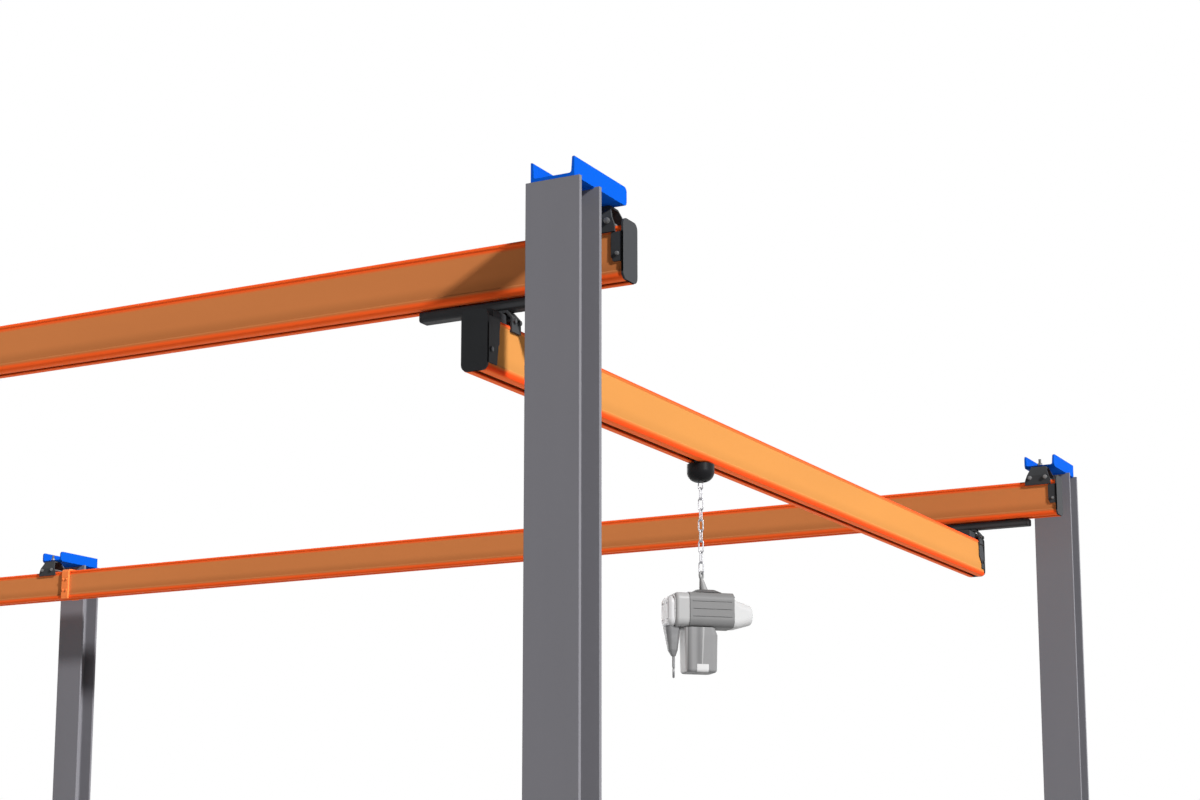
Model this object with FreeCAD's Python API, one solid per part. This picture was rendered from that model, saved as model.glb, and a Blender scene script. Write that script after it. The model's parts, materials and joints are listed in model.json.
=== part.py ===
import FreeCAD
import Part
import math
import os

# Light bridge crane, free standing, in millimetres.
# +X runs along the tracks, +Y along the bridge, +Z up. The origin is on the floor at the middle.

V = FreeCAD.Vector
tolerance = 1e-3

# Layout
bay_count = 2
bay_length = 7300.0
track_spacing = 5280.0
track_top = 3900.0
track_overhang = 99.0
bridge_from_end_column = 415.0
hoist_from_middle = -975.0

# Rolled track and girder profile
profile_height = 200.0
profile_width = 100.0
profile_wall = 5.0
head_depth = 14.0
foot_depth = 30.0
shoulder_slope = 5.0
waist_inset = 3.0
head_radius = 12.0
foot_radius = 14.0
least_inner_radius = 1.0
slot_width = 28.0

# Columns
column_width = 212.0
column_depth = 160.0
column_flange = 16.0
column_web = 9.0
column_root_radius = 15.0
column_gap = 165.0

# Column feet
foot_plate = 340.0
foot_plate_thickness = 20.0
foot_plate_radius = 12.0
anchor_spacing = 260.0
anchor_hole = 22.0
gusset_height = 160.0
gusset_thickness = 12.0
gusset_edge = 20.0
gusset_toe_margin = 6.0

# Cantilever brackets, a channel lying on its back
bracket_width = 172.0
bracket_leg = 70.0
bracket_web = 12.0
bracket_leg_tip = 9.0
bracket_leg_root = 13.0
bracket_tip_radius = 4.0
bracket_root_radius = 9.0
bracket_end_radius = 18.0
bracket_past_track = 14.0

# Saddle hangers
hanger_drop = 83.0
saddle_wall = 8.0
saddle_top = 10.0
saddle_claw = 5.0
saddle_bend = 10.0
saddle_inner_bend = 2.0
saddle_cheek = 30.0
saddle_crown_width = 64.0
track_saddle_foot = 146.0
track_saddle_crown = 84.0
bridge_saddle_foot = 64.0
bridge_saddle_crown = 56.0

# Track splices
splice_length = 60.0
splice_wall = 12.0
splice_gap = 70.0
splice_fit = 0.2

# End stops
stop_plate = 8.0
stop_margin = 5.0
stop_radius = 26.0
ear_thickness = 6.0
track_ear_length = 42.0
track_ear_toe = 36.0
track_ear_knee = 92.0
track_ear_height = 108.0
bridge_ear_length = 78.0
bridge_ear_toe = 36.0
bridge_ear_knee = 66.0
bridge_ear_height = 134.0
ear_gap = 2.0

# End trucks under the tracks
running_gap = 6.0
bar_length = 690.0
bar_width = 60.0
bar_height = 40.0
bar_wall = 5.0
bar_radius = 10.0
bar_plug_length = 16.0
bar_plug_rim = 5.0
trolley_from_bar_end = 90.0

# Trolleys inside the profiles
wheel_radius = 25.0
wheel_width = 14.0
wheel_offset = 30.0
wheel_base = 60.0
wheel_bore_clearance = 0.05
wheel_crown = 1.5
rolling_gap = 0.3
axle_radius = 7.0
cheek_thickness = 16.0
cheek_length = 100.0
cheek_above_axle = 14.0

# Bridge girder
bridge_drop = 106.0
front_overhang = 190.0
rear_overhang = 54.0

# Hoist trolley dome
dome_radius = 60.0
dome_height = 75.0
dome_edge_radius = 46.0
dome_slot_width = 17.0
dome_slot_length = 58.0
dome_slot_depth = 34.0
hang_pin_radius = 5.0
hang_pin_height = 13.0
hang_pin_seat = 8.0

# Suspension chain
link_count = 9
link_wire = 6.0
link_inner_length = 46.0
link_inner_width = 14.0
link_gap = 0.3

# Hoist, measured from the link that carries it
hoist_turn = 44.0
eye_wire = 10.0
eye_hole = 20.0
eye_neck_radius = 8.0
eye_base_radius = 19.0
eye_base_shift = 10.0
body_drop = 85.0
body_height = 150.0
body_depth = 146.0
body_left = -74.0
body_right = 123.0
body_radius = 34.0
fin_pitch = 32.0
fin_groove = 3.0
fin_depth = 2.5
fin_count = 3
fin_margin = 12.0
lid_left = -55.0
lid_right = 86.0
lid_depth = 104.0
lid_thickness = 14.0
lid_radius = 30.0
lid_crown_length = 86.0
lid_crown_depth = 60.0
lid_crown_radius = 22.0
gear_case_length = 62.0
gear_case_inset = 3.0
gear_cover_length = 28.0
gear_cover_drop = 16.0
gear_cover_inset = 14.0
cover_edge_radius = 16.0
motor_cover_length = 95.0
motor_cover_radius = 34.0
motor_root_depth = 138.0
motor_root_drop = 14.0
motor_root_rise = 2.0
motor_waist_at = 22.0
motor_waist_depth = 118.0
motor_waist_drop = 30.0
motor_nose_depth = 82.0
motor_nose_drop = 49.0
motor_nose_rise = 22.0
motor_nose_radius = 15.0
chain_box_left = -87.0
chain_box_right = 57.0
chain_box_depth = 120.0
chain_box_height = 190.0
chain_box_neck_height = 31.0
chain_box_neck_inset = 13.0
chain_box_taper = 3.0
chain_box_radius = 26.0
chain_box_wall = 4.0
chain_box_floor = 8.0
chain_box_floor_radius = 13.0
block_length = 66.0
block_depth = 74.0
block_height = 123.0
block_radius = 22.0
block_waist_height = 26.0
block_waist = 40.0
block_waist_radius = 14.0
block_tip = 18.0
block_tip_radius = 8.0
block_shift = -7.0
hook_axis = -126.0
hook_turn = -18.0
hook_bowl_radius = 14.0
hook_section = 10.0
hook_shank_radius = 6.0
hook_bowl_drop = 68.0
hook_mouth_angle = 40.0
hook_swivel_gap = 0.3

# Places that follow from the sizes above
column_count = bay_count + 1
track_y = track_spacing / 2
track_length = bay_count * bay_length + 2 * track_overhang
last_column_x = bay_count * bay_length / 2
bridge_x = last_column_x - bridge_from_end_column
column_y = track_y + profile_width / 2 + column_gap + column_depth / 2
bracket_z = track_top + hanger_drop
splice_offset = track_saddle_foot / 2 + splice_gap + splice_length / 2
ear_drop = head_depth + shoulder_slope + saddle_claw + ear_gap
trolley_spread = bar_length / 2 - trolley_from_bar_end
track_bottom = track_top - profile_height
bridge_top = track_bottom - bridge_drop
bridge_bottom = bridge_top - profile_height
bridge_length = track_spacing + front_overhang + rear_overhang
bar_top = track_bottom - running_gap
link_pitch = link_inner_length - link_gap
link_length = link_inner_length + link_wire
dome_top = bridge_bottom - running_gap
dome_bottom = dome_top - dome_height
hang_pin_z = dome_bottom + hang_pin_height
chain_top = hang_pin_z + hang_pin_radius + link_gap + link_wire / 2
eye_z = chain_top - (link_count - 1) * link_pitch - link_length
block_top = -body_drop - body_height + gear_case_inset


def rounded_outline(corners):
    """Closed wire in the XY plane through (x, y, radius) corners, each rounded by its own radius."""
    points = [V(x, y, 0) for x, y, radius in corners]
    starts, middles, ends = [], [], []
    for i, (x, y, radius) in enumerate(corners):
        here = points[i]
        back = (points[i - 1] - here).normalize()
        ahead = (points[(i + 1) % len(points)] - here).normalize()
        half_angle = back.getAngle(ahead) / 2
        reach = radius / math.tan(half_angle)
        towards_centre = (back + ahead) if radius > 0 else V(0, 0, 0)
        if radius > 0:
            towards_centre.normalize()
        centre = here + towards_centre * (radius / math.sin(half_angle))
        starts.append(here + back * reach)
        middles.append(centre - towards_centre * radius)
        ends.append(here + ahead * reach)
    edges = []
    for i, (x, y, radius) in enumerate(corners):
        if ends[i - 1].distanceToPoint(starts[i]) > tolerance:
            edges.append(Part.LineSegment(ends[i - 1], starts[i]).toShape())
        if radius > 0:
            edges.append(Part.Arc(starts[i], middles[i], ends[i]).toShape())
    return Part.Wire(edges)


def prism(corners, length):
    """Solid of a rounded outline, extruded along +Z."""
    return Part.Face(rounded_outline(corners)).extrude(V(0, 0, length))


def mirrored(half):
    """Corners of a whole outline from its right half, listed from top to bottom."""
    return half + [(-x, y, radius) for x, y, radius in reversed(half)]


def rectangle_between(left, right, low, high, radius):
    """Corners of a rectangle between its four sides."""
    return [(right, high, radius), (right, low, radius), (left, low, radius), (left, high, radius)]


def rectangle(width, height, radius):
    """Corners of a rectangle about the origin."""
    return rectangle_between(-width / 2, width / 2, -height / 2, height / 2, radius)


def lofted(sections):
    """Solid through rounded outlines, each given as its corners and its height."""
    wires = []
    for corners, height in sections:
        wire = rounded_outline(corners)
        wire.translate(V(0, 0, height))
        wires.append(wire)
    return Part.makeLoft(wires, True, True)


def laid_along_x(shape):
    """Turn (across, up, along) into (Y, Z, X)."""
    turned = shape.copy()
    turned.Placement = FreeCAD.Placement(FreeCAD.Matrix(0, 0, 1, 0, 1, 0, 0, 0, 0, 1, 0, 0, 0, 0, 0, 1))
    return turned


def laid_along_y(shape):
    """Turn (across, up, along) into (X, Z, -Y)."""
    turned = shape.copy()
    turned.Placement = FreeCAD.Placement(FreeCAD.Matrix(1, 0, 0, 0, 0, 0, -1, 0, 0, 1, 0, 0, 0, 0, 0, 1))
    return turned


def moved(shape, x, y, z, turn=0.0):
    """Copy of a shape, turned about Z by degrees and then moved."""
    copy = shape.copy()
    step = FreeCAD.Placement(V(x, y, z), FreeCAD.Rotation(V(0, 0, 1), turn))
    copy.Placement = step.multiply(copy.Placement)
    return copy


def save(name, solids):
    """Write one named piece, or a set of like pieces that stand apart."""
    shape = solids[0] if len(solids) == 1 else Part.makeCompound(solids)
    shape.exportStep("parts/" + name + ".step")


def profile_half(inset):
    """Right half of the profile's outline from its crown to its foot, inset by a wall."""
    head = profile_width / 2 - inset
    waist = head - waist_inset
    waist_top = -head_depth - shoulder_slope
    waist_bottom = -profile_height + foot_depth + shoulder_slope
    return [
        (head, -inset, max(head_radius - inset, least_inner_radius)),
        (head, -head_depth, 0),
        (waist, waist_top, 0),
        (waist, waist_bottom, 0),
        (head, -profile_height + foot_depth, 0),
        (head, -profile_height + inset, max(foot_radius - inset, least_inner_radius)),
    ]


def profile_solid(length):
    """The rolled profile: a closed crown, pinched sides, and two lips beside a slot below."""
    lip = slot_width / 2
    outside = [(lip, -profile_height, 0)] + list(reversed(profile_half(0)))
    inside = profile_half(profile_wall) + [(lip, -profile_height + profile_wall, 0)]
    half_loop_left = [(-x, y, radius) for x, y, radius in reversed(outside)]
    half_loop_inner_left = [(-x, y, radius) for x, y, radius in reversed(inside)]
    return prism(outside + half_loop_left + half_loop_inner_left + inside, length)


def column_solid(height):
    """Wide-flange column with rounded roots, its flanges facing along Y."""
    flange_x = column_width / 2
    web_x = column_web / 2
    outer = column_depth / 2
    inner = outer - column_flange
    root = column_root_radius
    right = [
        (flange_x, outer, 0),
        (flange_x, inner, 0),
        (web_x, inner, root),
        (web_x, -inner, root),
        (flange_x, -inner, 0),
        (flange_x, -outer, 0),
    ]
    return prism(mirrored(right), height)


def foot_solid():
    """Foot plate with four anchor holes and a gusset against each flange."""
    plate = prism(rectangle(foot_plate, foot_plate, foot_plate_radius), foot_plate_thickness)
    half = anchor_spacing / 2
    for x in (-half, half):
        for y in (-half, half):
            plate = plate.cut(Part.makeCylinder(anchor_hole / 2, foot_plate_thickness, V(x, y, 0)))
    flange_face = column_depth / 2
    toe = foot_plate / 2 - gusset_toe_margin
    gusset = prism([
        (flange_face, foot_plate_thickness, 0),
        (toe, foot_plate_thickness, 0),
        (toe, foot_plate_thickness + gusset_edge, 0),
        (flange_face + gusset_edge, foot_plate_thickness + gusset_height, 0),
        (flange_face, foot_plate_thickness + gusset_height, 0),
    ], gusset_thickness)
    gusset = moved(laid_along_x(gusset), -gusset_thickness / 2, 0, 0)
    return plate.fuse([gusset, moved(gusset, 0, 0, 0, 180)]).removeSplitter()


def bracket_solid():
    """Channel on its back with tapered legs, from the column's outer face to past the track."""
    length = column_depth + column_gap + profile_width / 2 + bracket_past_track
    half = bracket_width / 2
    channel = prism(mirrored([
        (half - bracket_leg_root, bracket_web, bracket_root_radius),
        (half - bracket_leg_tip, bracket_leg, bracket_tip_radius),
        (half, bracket_leg, 0),
        (half, 0, 0),
    ]), length)
    side = prism([
        (0, 0, 0),
        (length, 0, bracket_end_radius),
        (length, bracket_leg, bracket_end_radius),
        (0, bracket_leg, 0),
    ], bracket_width)
    side = moved(laid_along_x(side), -half, 0, 0)
    channel = moved(laid_along_y(channel), 0, length, 0)
    return moved(channel.common(side), 0, -column_depth / 2, 0)


def saddle_solid(height, foot, crown):
    """Bell-shaped saddle over a profile's head: narrow crown, sloping shoulders, claws under the head.

    Its length runs along X, and z = 0 is the top of the profile.
    """
    inner = profile_width / 2
    outer = inner + saddle_wall
    claw = inner - waist_inset
    claw_top = -head_depth - shoulder_slope
    run = outer - saddle_crown_width / 2
    rise = height - saddle_cheek
    slant = math.hypot(run, rise)
    inner_cheek = saddle_cheek - saddle_wall * (slant - rise) / run
    inner_crown = outer - (saddle_wall * slant + run * (rise - saddle_top)) / rise
    section = prism(mirrored([
        (saddle_crown_width / 2, height, saddle_inner_bend),
        (outer, saddle_cheek, saddle_bend),
        (outer, claw_top - saddle_claw, 0),
        (claw, claw_top - saddle_claw, 0),
        (claw, claw_top, 0),
        (inner, -head_depth, 0),
        (inner, inner_cheek, saddle_inner_bend),
        (inner_crown, height - saddle_top, saddle_inner_bend),
    ]), foot)
    section = moved(laid_along_x(section), -foot / 2, 0, 0)
    side = prism([
        (-foot / 2, claw_top - saddle_claw, 0),
        (foot / 2, claw_top - saddle_claw, 0),
        (foot / 2, 0, saddle_bend),
        (crown / 2, height, 0),
        (-crown / 2, height, 0),
        (-foot / 2, 0, saddle_bend),
    ], 2 * outer)
    side = moved(laid_along_y(side), 0, outer, 0)
    return section.common(side)


def splice_solid():
    """Sleeve over the joint of two track lengths, open below, centred on the joint."""
    low_edge = -profile_height + foot_radius
    flank = profile_width / 2 + splice_wall
    inner = profile_half(-splice_fit)
    inner[-1] = (inner[-1][0], low_edge, 0)
    outer = [(flank, splice_wall, head_radius + splice_wall), (flank, low_edge, 0)]
    right = outer + list(reversed(inner))
    sleeve = prism(mirrored(right), splice_length)
    return moved(laid_along_x(sleeve), -splice_length / 2, 0, 0)


def end_stop_solid(ear_length, ear_toe, ear_knee, ear_height):
    """Plate over a profile's end, with a stepped ear along each side. It closes the +X end."""
    width = profile_width + 2 * stop_margin
    plate = prism(mirrored([
        (width / 2, 0, stop_radius),
        (width / 2, -profile_height, stop_radius),
    ]), stop_plate)
    plate = laid_along_x(plate)
    waist = profile_width / 2 - waist_inset
    ear = prism([
        (0, -ear_drop, 0),
        (0, -ear_drop - ear_height, 0),
        (-ear_toe, -ear_drop - ear_height, ear_thickness),
        (-ear_toe, -ear_drop - ear_knee - ear_length + ear_toe, 0),
        (-ear_length, -ear_drop - ear_knee, ear_thickness),
        (-ear_length, -ear_drop, ear_thickness),
    ], ear_thickness)
    ear = laid_along_y(ear)
    right_ear = moved(ear, 0, -waist, 0)
    left_ear = moved(ear, 0, waist + ear_thickness, 0)
    return plate.fuse([right_ear, left_ear]).removeSplitter()


def bar_solids():
    """Hollow truck bar along X and its two rounded end plugs. z = 0 is its top."""
    both_walls = 2 * bar_wall
    outside = prism(rectangle(bar_width, bar_height, bar_radius), bar_length - 2 * bar_plug_length)
    bore = rectangle(bar_width - both_walls, bar_height - both_walls, bar_radius - bar_wall)
    inside = prism(bore, bar_length)
    tube = moved(laid_along_x(outside.cut(inside)), -bar_length / 2 + bar_plug_length, 0, -bar_height / 2)
    plug = prism(rectangle(bar_width, bar_height, bar_radius), bar_plug_length)
    rim = [edge for edge in plug.Edges if edge.BoundBox.ZMin > bar_plug_length - tolerance]
    plug = laid_along_x(plug.makeFillet(bar_plug_rim, rim))
    right = moved(plug, bar_length / 2 - bar_plug_length, 0, -bar_height / 2)
    left = moved(plug, -bar_length / 2 + bar_plug_length, 0, -bar_height / 2, 180)
    return tube, [right, left]


def trolley_solids(drop):
    """Four-wheel trolley that runs along X on a profile's lips. z = 0 is the profile's underside.

    Its cheek plate reaches down through the slot by drop.
    """
    axle_z = profile_wall + rolling_gap + wheel_radius
    cheek = prism([
        (-cheek_length / 2, axle_z + cheek_above_axle, cheek_above_axle),
        (cheek_length / 2, axle_z + cheek_above_axle, cheek_above_axle),
        (cheek_length / 2, -drop, 0),
        (-cheek_length / 2, -drop, 0),
    ], cheek_thickness)
    cheek = moved(laid_along_y(cheek), 0, cheek_thickness / 2, 0)
    wheels = []
    axle_reach = wheel_offset + wheel_width / 2
    for x in (-wheel_base / 2, wheel_base / 2):
        axle = Part.makeCylinder(axle_radius, 2 * axle_reach, V(x, -axle_reach, axle_z), V(0, 1, 0))
        cheek = cheek.fuse(axle)
        for side in (-1, 1):
            wheels.append(moved(wheel_solid(), x, side * wheel_offset, axle_z))
    return cheek.removeSplitter(), wheels


def wheel_solid():
    """Trolley wheel with a crowned tread and a bored hub, its axis along Y."""
    bore = axle_radius + wheel_bore_clearance
    half = wheel_width / 2
    edge = wheel_radius - wheel_crown
    crown = Part.Arc(V(edge, -half, 0), V(wheel_radius, 0, 0), V(edge, half, 0)).toShape()
    sides = Part.makePolygon([V(edge, half, 0), V(bore, half, 0), V(bore, -half, 0), V(edge, -half, 0)])
    return Part.Face(Part.Wire([crown] + sides.Edges)).revolve(V(0, 0, 0), V(0, 1, 0), 360)


def dome_solid():
    """Rounded housing of the hoist trolley, with a slot below and a cross pin for the chain."""
    flat = dome_radius - dome_edge_radius
    edge_top = -dome_height + dome_edge_radius
    slant = dome_edge_radius * math.sqrt(0.5)
    side = Part.makePolygon([V(0, 0, 0), V(dome_radius, 0, 0), V(dome_radius, 0, edge_top)])
    bowl = Part.Arc(V(dome_radius, 0, edge_top),
                    V(flat + slant, 0, edge_top - slant),
                    V(flat, 0, -dome_height)).toShape()
    floor = Part.makePolygon([V(flat, 0, -dome_height), V(0, 0, -dome_height), V(0, 0, 0)])
    outline = Part.Wire(side.Edges + [bowl] + floor.Edges)
    dome = Part.Face(outline).revolve(V(0, 0, 0), V(0, 0, 1), 360)
    slot = Part.makeBox(dome_slot_length, dome_slot_width, dome_height + dome_slot_depth,
                        V(-dome_slot_length / 2, -dome_slot_width / 2, -2 * dome_height))
    pin_reach = dome_slot_width / 2 + hang_pin_seat
    pin = Part.makeCylinder(hang_pin_radius, 2 * pin_reach, V(0, -pin_reach, -dome_height + hang_pin_height),
                            V(0, 1, 0))
    return dome.cut(slot).fuse(pin).removeSplitter()


def link_solid():
    """Oval chain link in the XZ plane. z = 0 is the wire's centre at its top."""
    bend = (link_inner_width + link_wire) / 2
    bottom = -link_length
    path = Part.Wire([
        Part.Arc(V(-bend, 0, -bend), V(0, 0, 0), V(bend, 0, -bend)).toShape(),
        Part.LineSegment(V(bend, 0, -bend), V(bend, 0, bottom + bend)).toShape(),
        Part.Arc(V(bend, 0, bottom + bend), V(0, 0, bottom), V(-bend, 0, bottom + bend)).toShape(),
        Part.LineSegment(V(-bend, 0, bottom + bend), V(-bend, 0, -bend)).toShape(),
    ])
    section = Part.Wire(Part.makeCircle(link_wire / 2, V(-bend, 0, -bend), V(0, 0, 1)))
    return path.makePipeShell([section], True, False)


def eye_solid():
    """Ring in the YZ plane on a skirt that widens to the lid. z = 0 is the wire that carries it."""
    ring_radius = (eye_hole + eye_wire) / 2
    ring_z = link_wire / 2 + link_gap - eye_hole / 2
    ring = Part.makeTorus(ring_radius, eye_wire / 2, V(0, 0, ring_z), V(1, 0, 0))
    neck_z = ring_z - ring_radius
    base_z = -body_drop + lid_thickness
    neck = Part.Wire(Part.makeCircle(eye_neck_radius, V(0, 0, neck_z)))
    base = Part.Wire(Part.makeCircle(eye_base_radius, V(eye_base_shift, 0, base_z)))
    skirt = Part.makeLoft([base, neck], True, True)
    return ring.fuse(moved(skirt, 0, 0, 0, hoist_turn)).removeSplitter()


def lid_solid():
    """Lid with sloping sides on top of the housing, under the eye."""
    lid = lofted([
        (rectangle(lid_right - lid_left, lid_depth, lid_radius), 0),
        (rectangle(lid_crown_length, lid_crown_depth, lid_crown_radius), lid_thickness),
    ])
    return moved(lid, (lid_left + lid_right) / 2, 0, -body_drop)


def body_section(inset):
    """Rounded section of the housing across its length, shrunk by an inset."""
    return rectangle(body_depth - 2 * inset, body_height - 2 * inset, body_radius - inset)


def housing_solid():
    """Hoist housing along X with rows of cooling fins on its two long sides."""
    length = body_right - body_left
    housing = moved(laid_along_x(prism(body_section(0), length)), body_left, 0, 0)
    groove_length = length - 2 * fin_margin
    for side in (-1, 1):
        for row in range(fin_count):
            z = (row - (fin_count - 1) / 2) * fin_pitch - fin_groove / 2
            y = side * body_depth / 2 - fin_depth
            groove = Part.makeBox(groove_length, 2 * fin_depth, fin_groove, V(body_left + fin_margin, y, z))
            housing = housing.cut(groove)
    return moved(housing, 0, 0, -body_drop - body_height / 2)


def gear_case_solid():
    """Light gear case on the housing's left end, a little smaller than the housing."""
    case = laid_along_x(prism(body_section(gear_case_inset), gear_case_length))
    rim = [edge for edge in case.Edges if edge.BoundBox.XMax < tolerance]
    case = case.makeFillet(cover_edge_radius, rim)
    return moved(case, body_left - gear_case_length, 0, -body_drop - body_height / 2)


def gear_cover_solid():
    """Rounded end cover beyond the gear case, a step lower than it."""
    width = body_depth - 2 * gear_cover_inset
    height = body_height - 2 * gear_case_inset - gear_cover_drop
    cover = laid_along_x(prism(rectangle(width, height, body_radius - gear_case_inset), gear_cover_length))
    rim = [edge for edge in cover.Edges if edge.BoundBox.XMax < tolerance]
    cover = cover.makeFillet(cover_edge_radius, rim)
    z = -body_drop - body_height / 2 - gear_cover_drop / 2
    return moved(cover, body_left - gear_case_length - gear_cover_length, 0, z)


def motor_section(depth, drop, rise):
    """Section of the motor cover, from below the housing's top to above its underside."""
    top = -body_drop - drop
    bottom = -body_drop - body_height + rise
    return rectangle_between(-depth / 2, depth / 2, bottom, top, motor_cover_radius)


def motor_cover_solid():
    """Motor cover on the housing's right end: a wide root, a waist, and a rounded nose."""
    cover = laid_along_x(lofted([
        (motor_section(motor_root_depth, motor_root_drop, motor_root_rise), 0),
        (motor_section(motor_waist_depth, motor_waist_drop, motor_root_rise), motor_waist_at),
        (motor_section(motor_nose_depth, motor_nose_drop, motor_nose_rise), motor_cover_length),
    ]))
    rim = [edge for edge in cover.Edges if edge.BoundBox.XMin > motor_cover_length - tolerance]
    return moved(cover.makeFillet(motor_nose_radius, rim), body_right, 0, 0)


def box_section(inset, wall, neck):
    """Outline of the chain box, inset all round, by its wall, and by a neck on the right."""
    shrink = inset + wall
    half_depth = chain_box_depth / 2 - shrink
    left = chain_box_left + shrink
    right = chain_box_right - shrink - neck
    return rectangle_between(left, right, -half_depth, half_depth, chain_box_radius - wall)


def chain_box_solid():
    """Chain box under the housing: a thin moulded bucket, open upwards, with a neck at its top."""
    outer = lofted([
        (box_section(chain_box_taper, 0, 0), -chain_box_height),
        (box_section(0, 0, 0), -chain_box_neck_height),
        (box_section(0, 0, chain_box_neck_inset), 0),
    ])
    floor_edges = [edge for edge in outer.Edges if edge.BoundBox.ZMax < -chain_box_height + tolerance]
    outer = outer.makeFillet(chain_box_floor_radius, floor_edges)
    inner = lofted([
        (box_section(chain_box_taper, chain_box_wall, 0), -chain_box_height + chain_box_floor),
        (box_section(0, chain_box_wall, 0), -chain_box_neck_height),
        (box_section(0, chain_box_wall, chain_box_neck_inset), 0),
    ])
    return moved(outer.cut(inner), 0, 0, -body_drop - body_height)


def hook_block_solid():
    """Hook block below the gear case, tapering to a waist and then to the hook's swivel."""
    waist = rectangle(block_waist, block_waist, block_waist_radius)
    waist = [(x - block_shift / 2, y, radius) for x, y, radius in waist]
    tip = rectangle(block_tip, block_tip, block_tip_radius)
    tip = [(x - block_shift, y, radius) for x, y, radius in tip]
    block = lofted([
        (tip, -block_height),
        (waist, -block_height + block_waist_height),
        (rectangle(block_length, block_depth, block_radius), 0),
    ])
    return moved(block, hook_axis + block_shift, 0, block_top)


def hook_solid():
    """Forged load hook in the YZ plane with a round shank. z = 0 is the top of its shank."""
    bowl = hook_bowl_radius + hook_section / 2
    centre_z = -hook_bowl_drop
    mouth = math.radians(hook_mouth_angle)
    tip = V(0, bowl * math.cos(mouth), centre_z + bowl * math.sin(mouth))
    bottom = V(0, 0, centre_z - bowl)
    crown = V(0, 0, centre_z + bowl)
    back = V(0, -bowl, centre_z)
    path = Part.Wire([
        Part.Arc(crown, V(0, -bowl * math.sqrt(0.5), centre_z + bowl * math.sqrt(0.5)), back).toShape(),
        Part.Arc(back, V(0, -bowl * math.sqrt(0.5), centre_z - bowl * math.sqrt(0.5)), bottom).toShape(),
        Part.Arc(bottom, V(0, bowl * math.cos(mouth / 2 - math.pi / 4),
                           centre_z + bowl * math.sin(mouth / 2 - math.pi / 4)), tip).toShape(),
    ])
    section = Part.Wire(Part.makeCircle(hook_section / 2, crown, V(0, 1, 0)))
    bend = path.makePipeShell([section], True, False)
    shank = Part.makeCylinder(hook_shank_radius, hook_bowl_drop - bowl, V(0, 0, centre_z + bowl))
    knob = Part.makeSphere(hook_section / 2, tip)
    return bend.fuse([shank, knob]).removeSplitter()


def place_name(i, count):
    """Name of the i-th of a row: left, right, and middle between, numbered where there are several."""
    if i == 0:
        return "left"
    if i == count - 1:
        return "right"
    return "middle" if count == 3 else "middle_" + str(i)


def build_frame():
    """Columns, feet, brackets, tracks, hangers, splices and end stops."""
    rows = {"front": (-1, 0.0), "rear": (1, 180.0)}
    column = column_solid(bracket_z - foot_plate_thickness)
    foot = foot_solid()
    bracket = bracket_solid()
    saddle = saddle_solid(hanger_drop, track_saddle_foot, track_saddle_crown)
    splice = splice_solid()
    stop = end_stop_solid(track_ear_length, track_ear_toe, track_ear_knee, track_ear_height)
    joints = [-last_column_x + i * bay_length + splice_offset for i in range(1, bay_count)]
    track_ends = [-track_length / 2] + joints + [track_length / 2]
    for row, (side, turn) in rows.items():
        feet, hangers = [], []
        for i in range(column_count):
            station = place_name(i, column_count)
            x = -last_column_x + i * bay_length
            save("column_" + row + "_" + station, [moved(column, x, side * column_y, foot_plate_thickness)])
            feet.append(moved(foot, x, side * column_y, 0))
            save("bracket_" + row + "_" + station, [moved(bracket, x, side * column_y, bracket_z, turn)])
            hangers.append(moved(saddle, x, side * track_y, track_top))
        save("column_feet_" + row, feet)
        save("track_hangers_" + row, hangers)
        for i in range(bay_count):
            track = laid_along_x(profile_solid(track_ends[i + 1] - track_ends[i]))
            save("track_" + row + "_" + place_name(i, bay_count),
                 [moved(track, track_ends[i], side * track_y, track_top)])
        save("track_splice_" + row, [moved(splice, x, side * track_y, track_top) for x in joints])
        right_stop = moved(stop, track_length / 2, side * track_y, track_top)
        left_stop = moved(stop, -track_length / 2, side * track_y, track_top, 180)
        save("track_end_stops_" + row, [left_stop, right_stop])


def build_bridge():
    """Girder with its end stops, hangers, truck bars and the trolleys that run in the tracks."""
    girder = laid_along_y(profile_solid(bridge_length))
    rear_end = track_y + rear_overhang
    front_end = -track_y - front_overhang
    save("bridge_girder", [moved(girder, bridge_x, rear_end, bridge_top)])
    stop = end_stop_solid(bridge_ear_length, bridge_ear_toe, bridge_ear_knee, bridge_ear_height)
    save("bridge_end_stop_front", [moved(stop, bridge_x, front_end, bridge_top, -90)])
    save("bridge_end_stop_rear", [moved(stop, bridge_x, rear_end, bridge_top, 90)])
    bar, plugs = bar_solids()
    cheek, wheels = trolley_solids(running_gap)
    saddle = saddle_solid(bar_top - bar_height - bridge_top, bridge_saddle_foot, bridge_saddle_crown)
    bar_plugs = []
    for row, side in {"front": -1, "rear": 1}.items():
        y = side * track_y
        save("truck_bar_" + row, [moved(bar, bridge_x, y, bar_top)])
        bar_plugs += [moved(plug, bridge_x, y, bar_top) for plug in plugs]
        places = [bridge_x - trolley_spread, bridge_x + trolley_spread]
        save("track_trolleys_" + row, [moved(cheek, x, y, track_bottom) for x in places])
        save("track_wheels_" + row, [moved(wheel, x, y, track_bottom) for x in places for wheel in wheels])
        save("bridge_hanger_" + row, [moved(saddle, bridge_x, y, bridge_top, 90)])
    save("truck_bar_plugs", bar_plugs)


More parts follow.
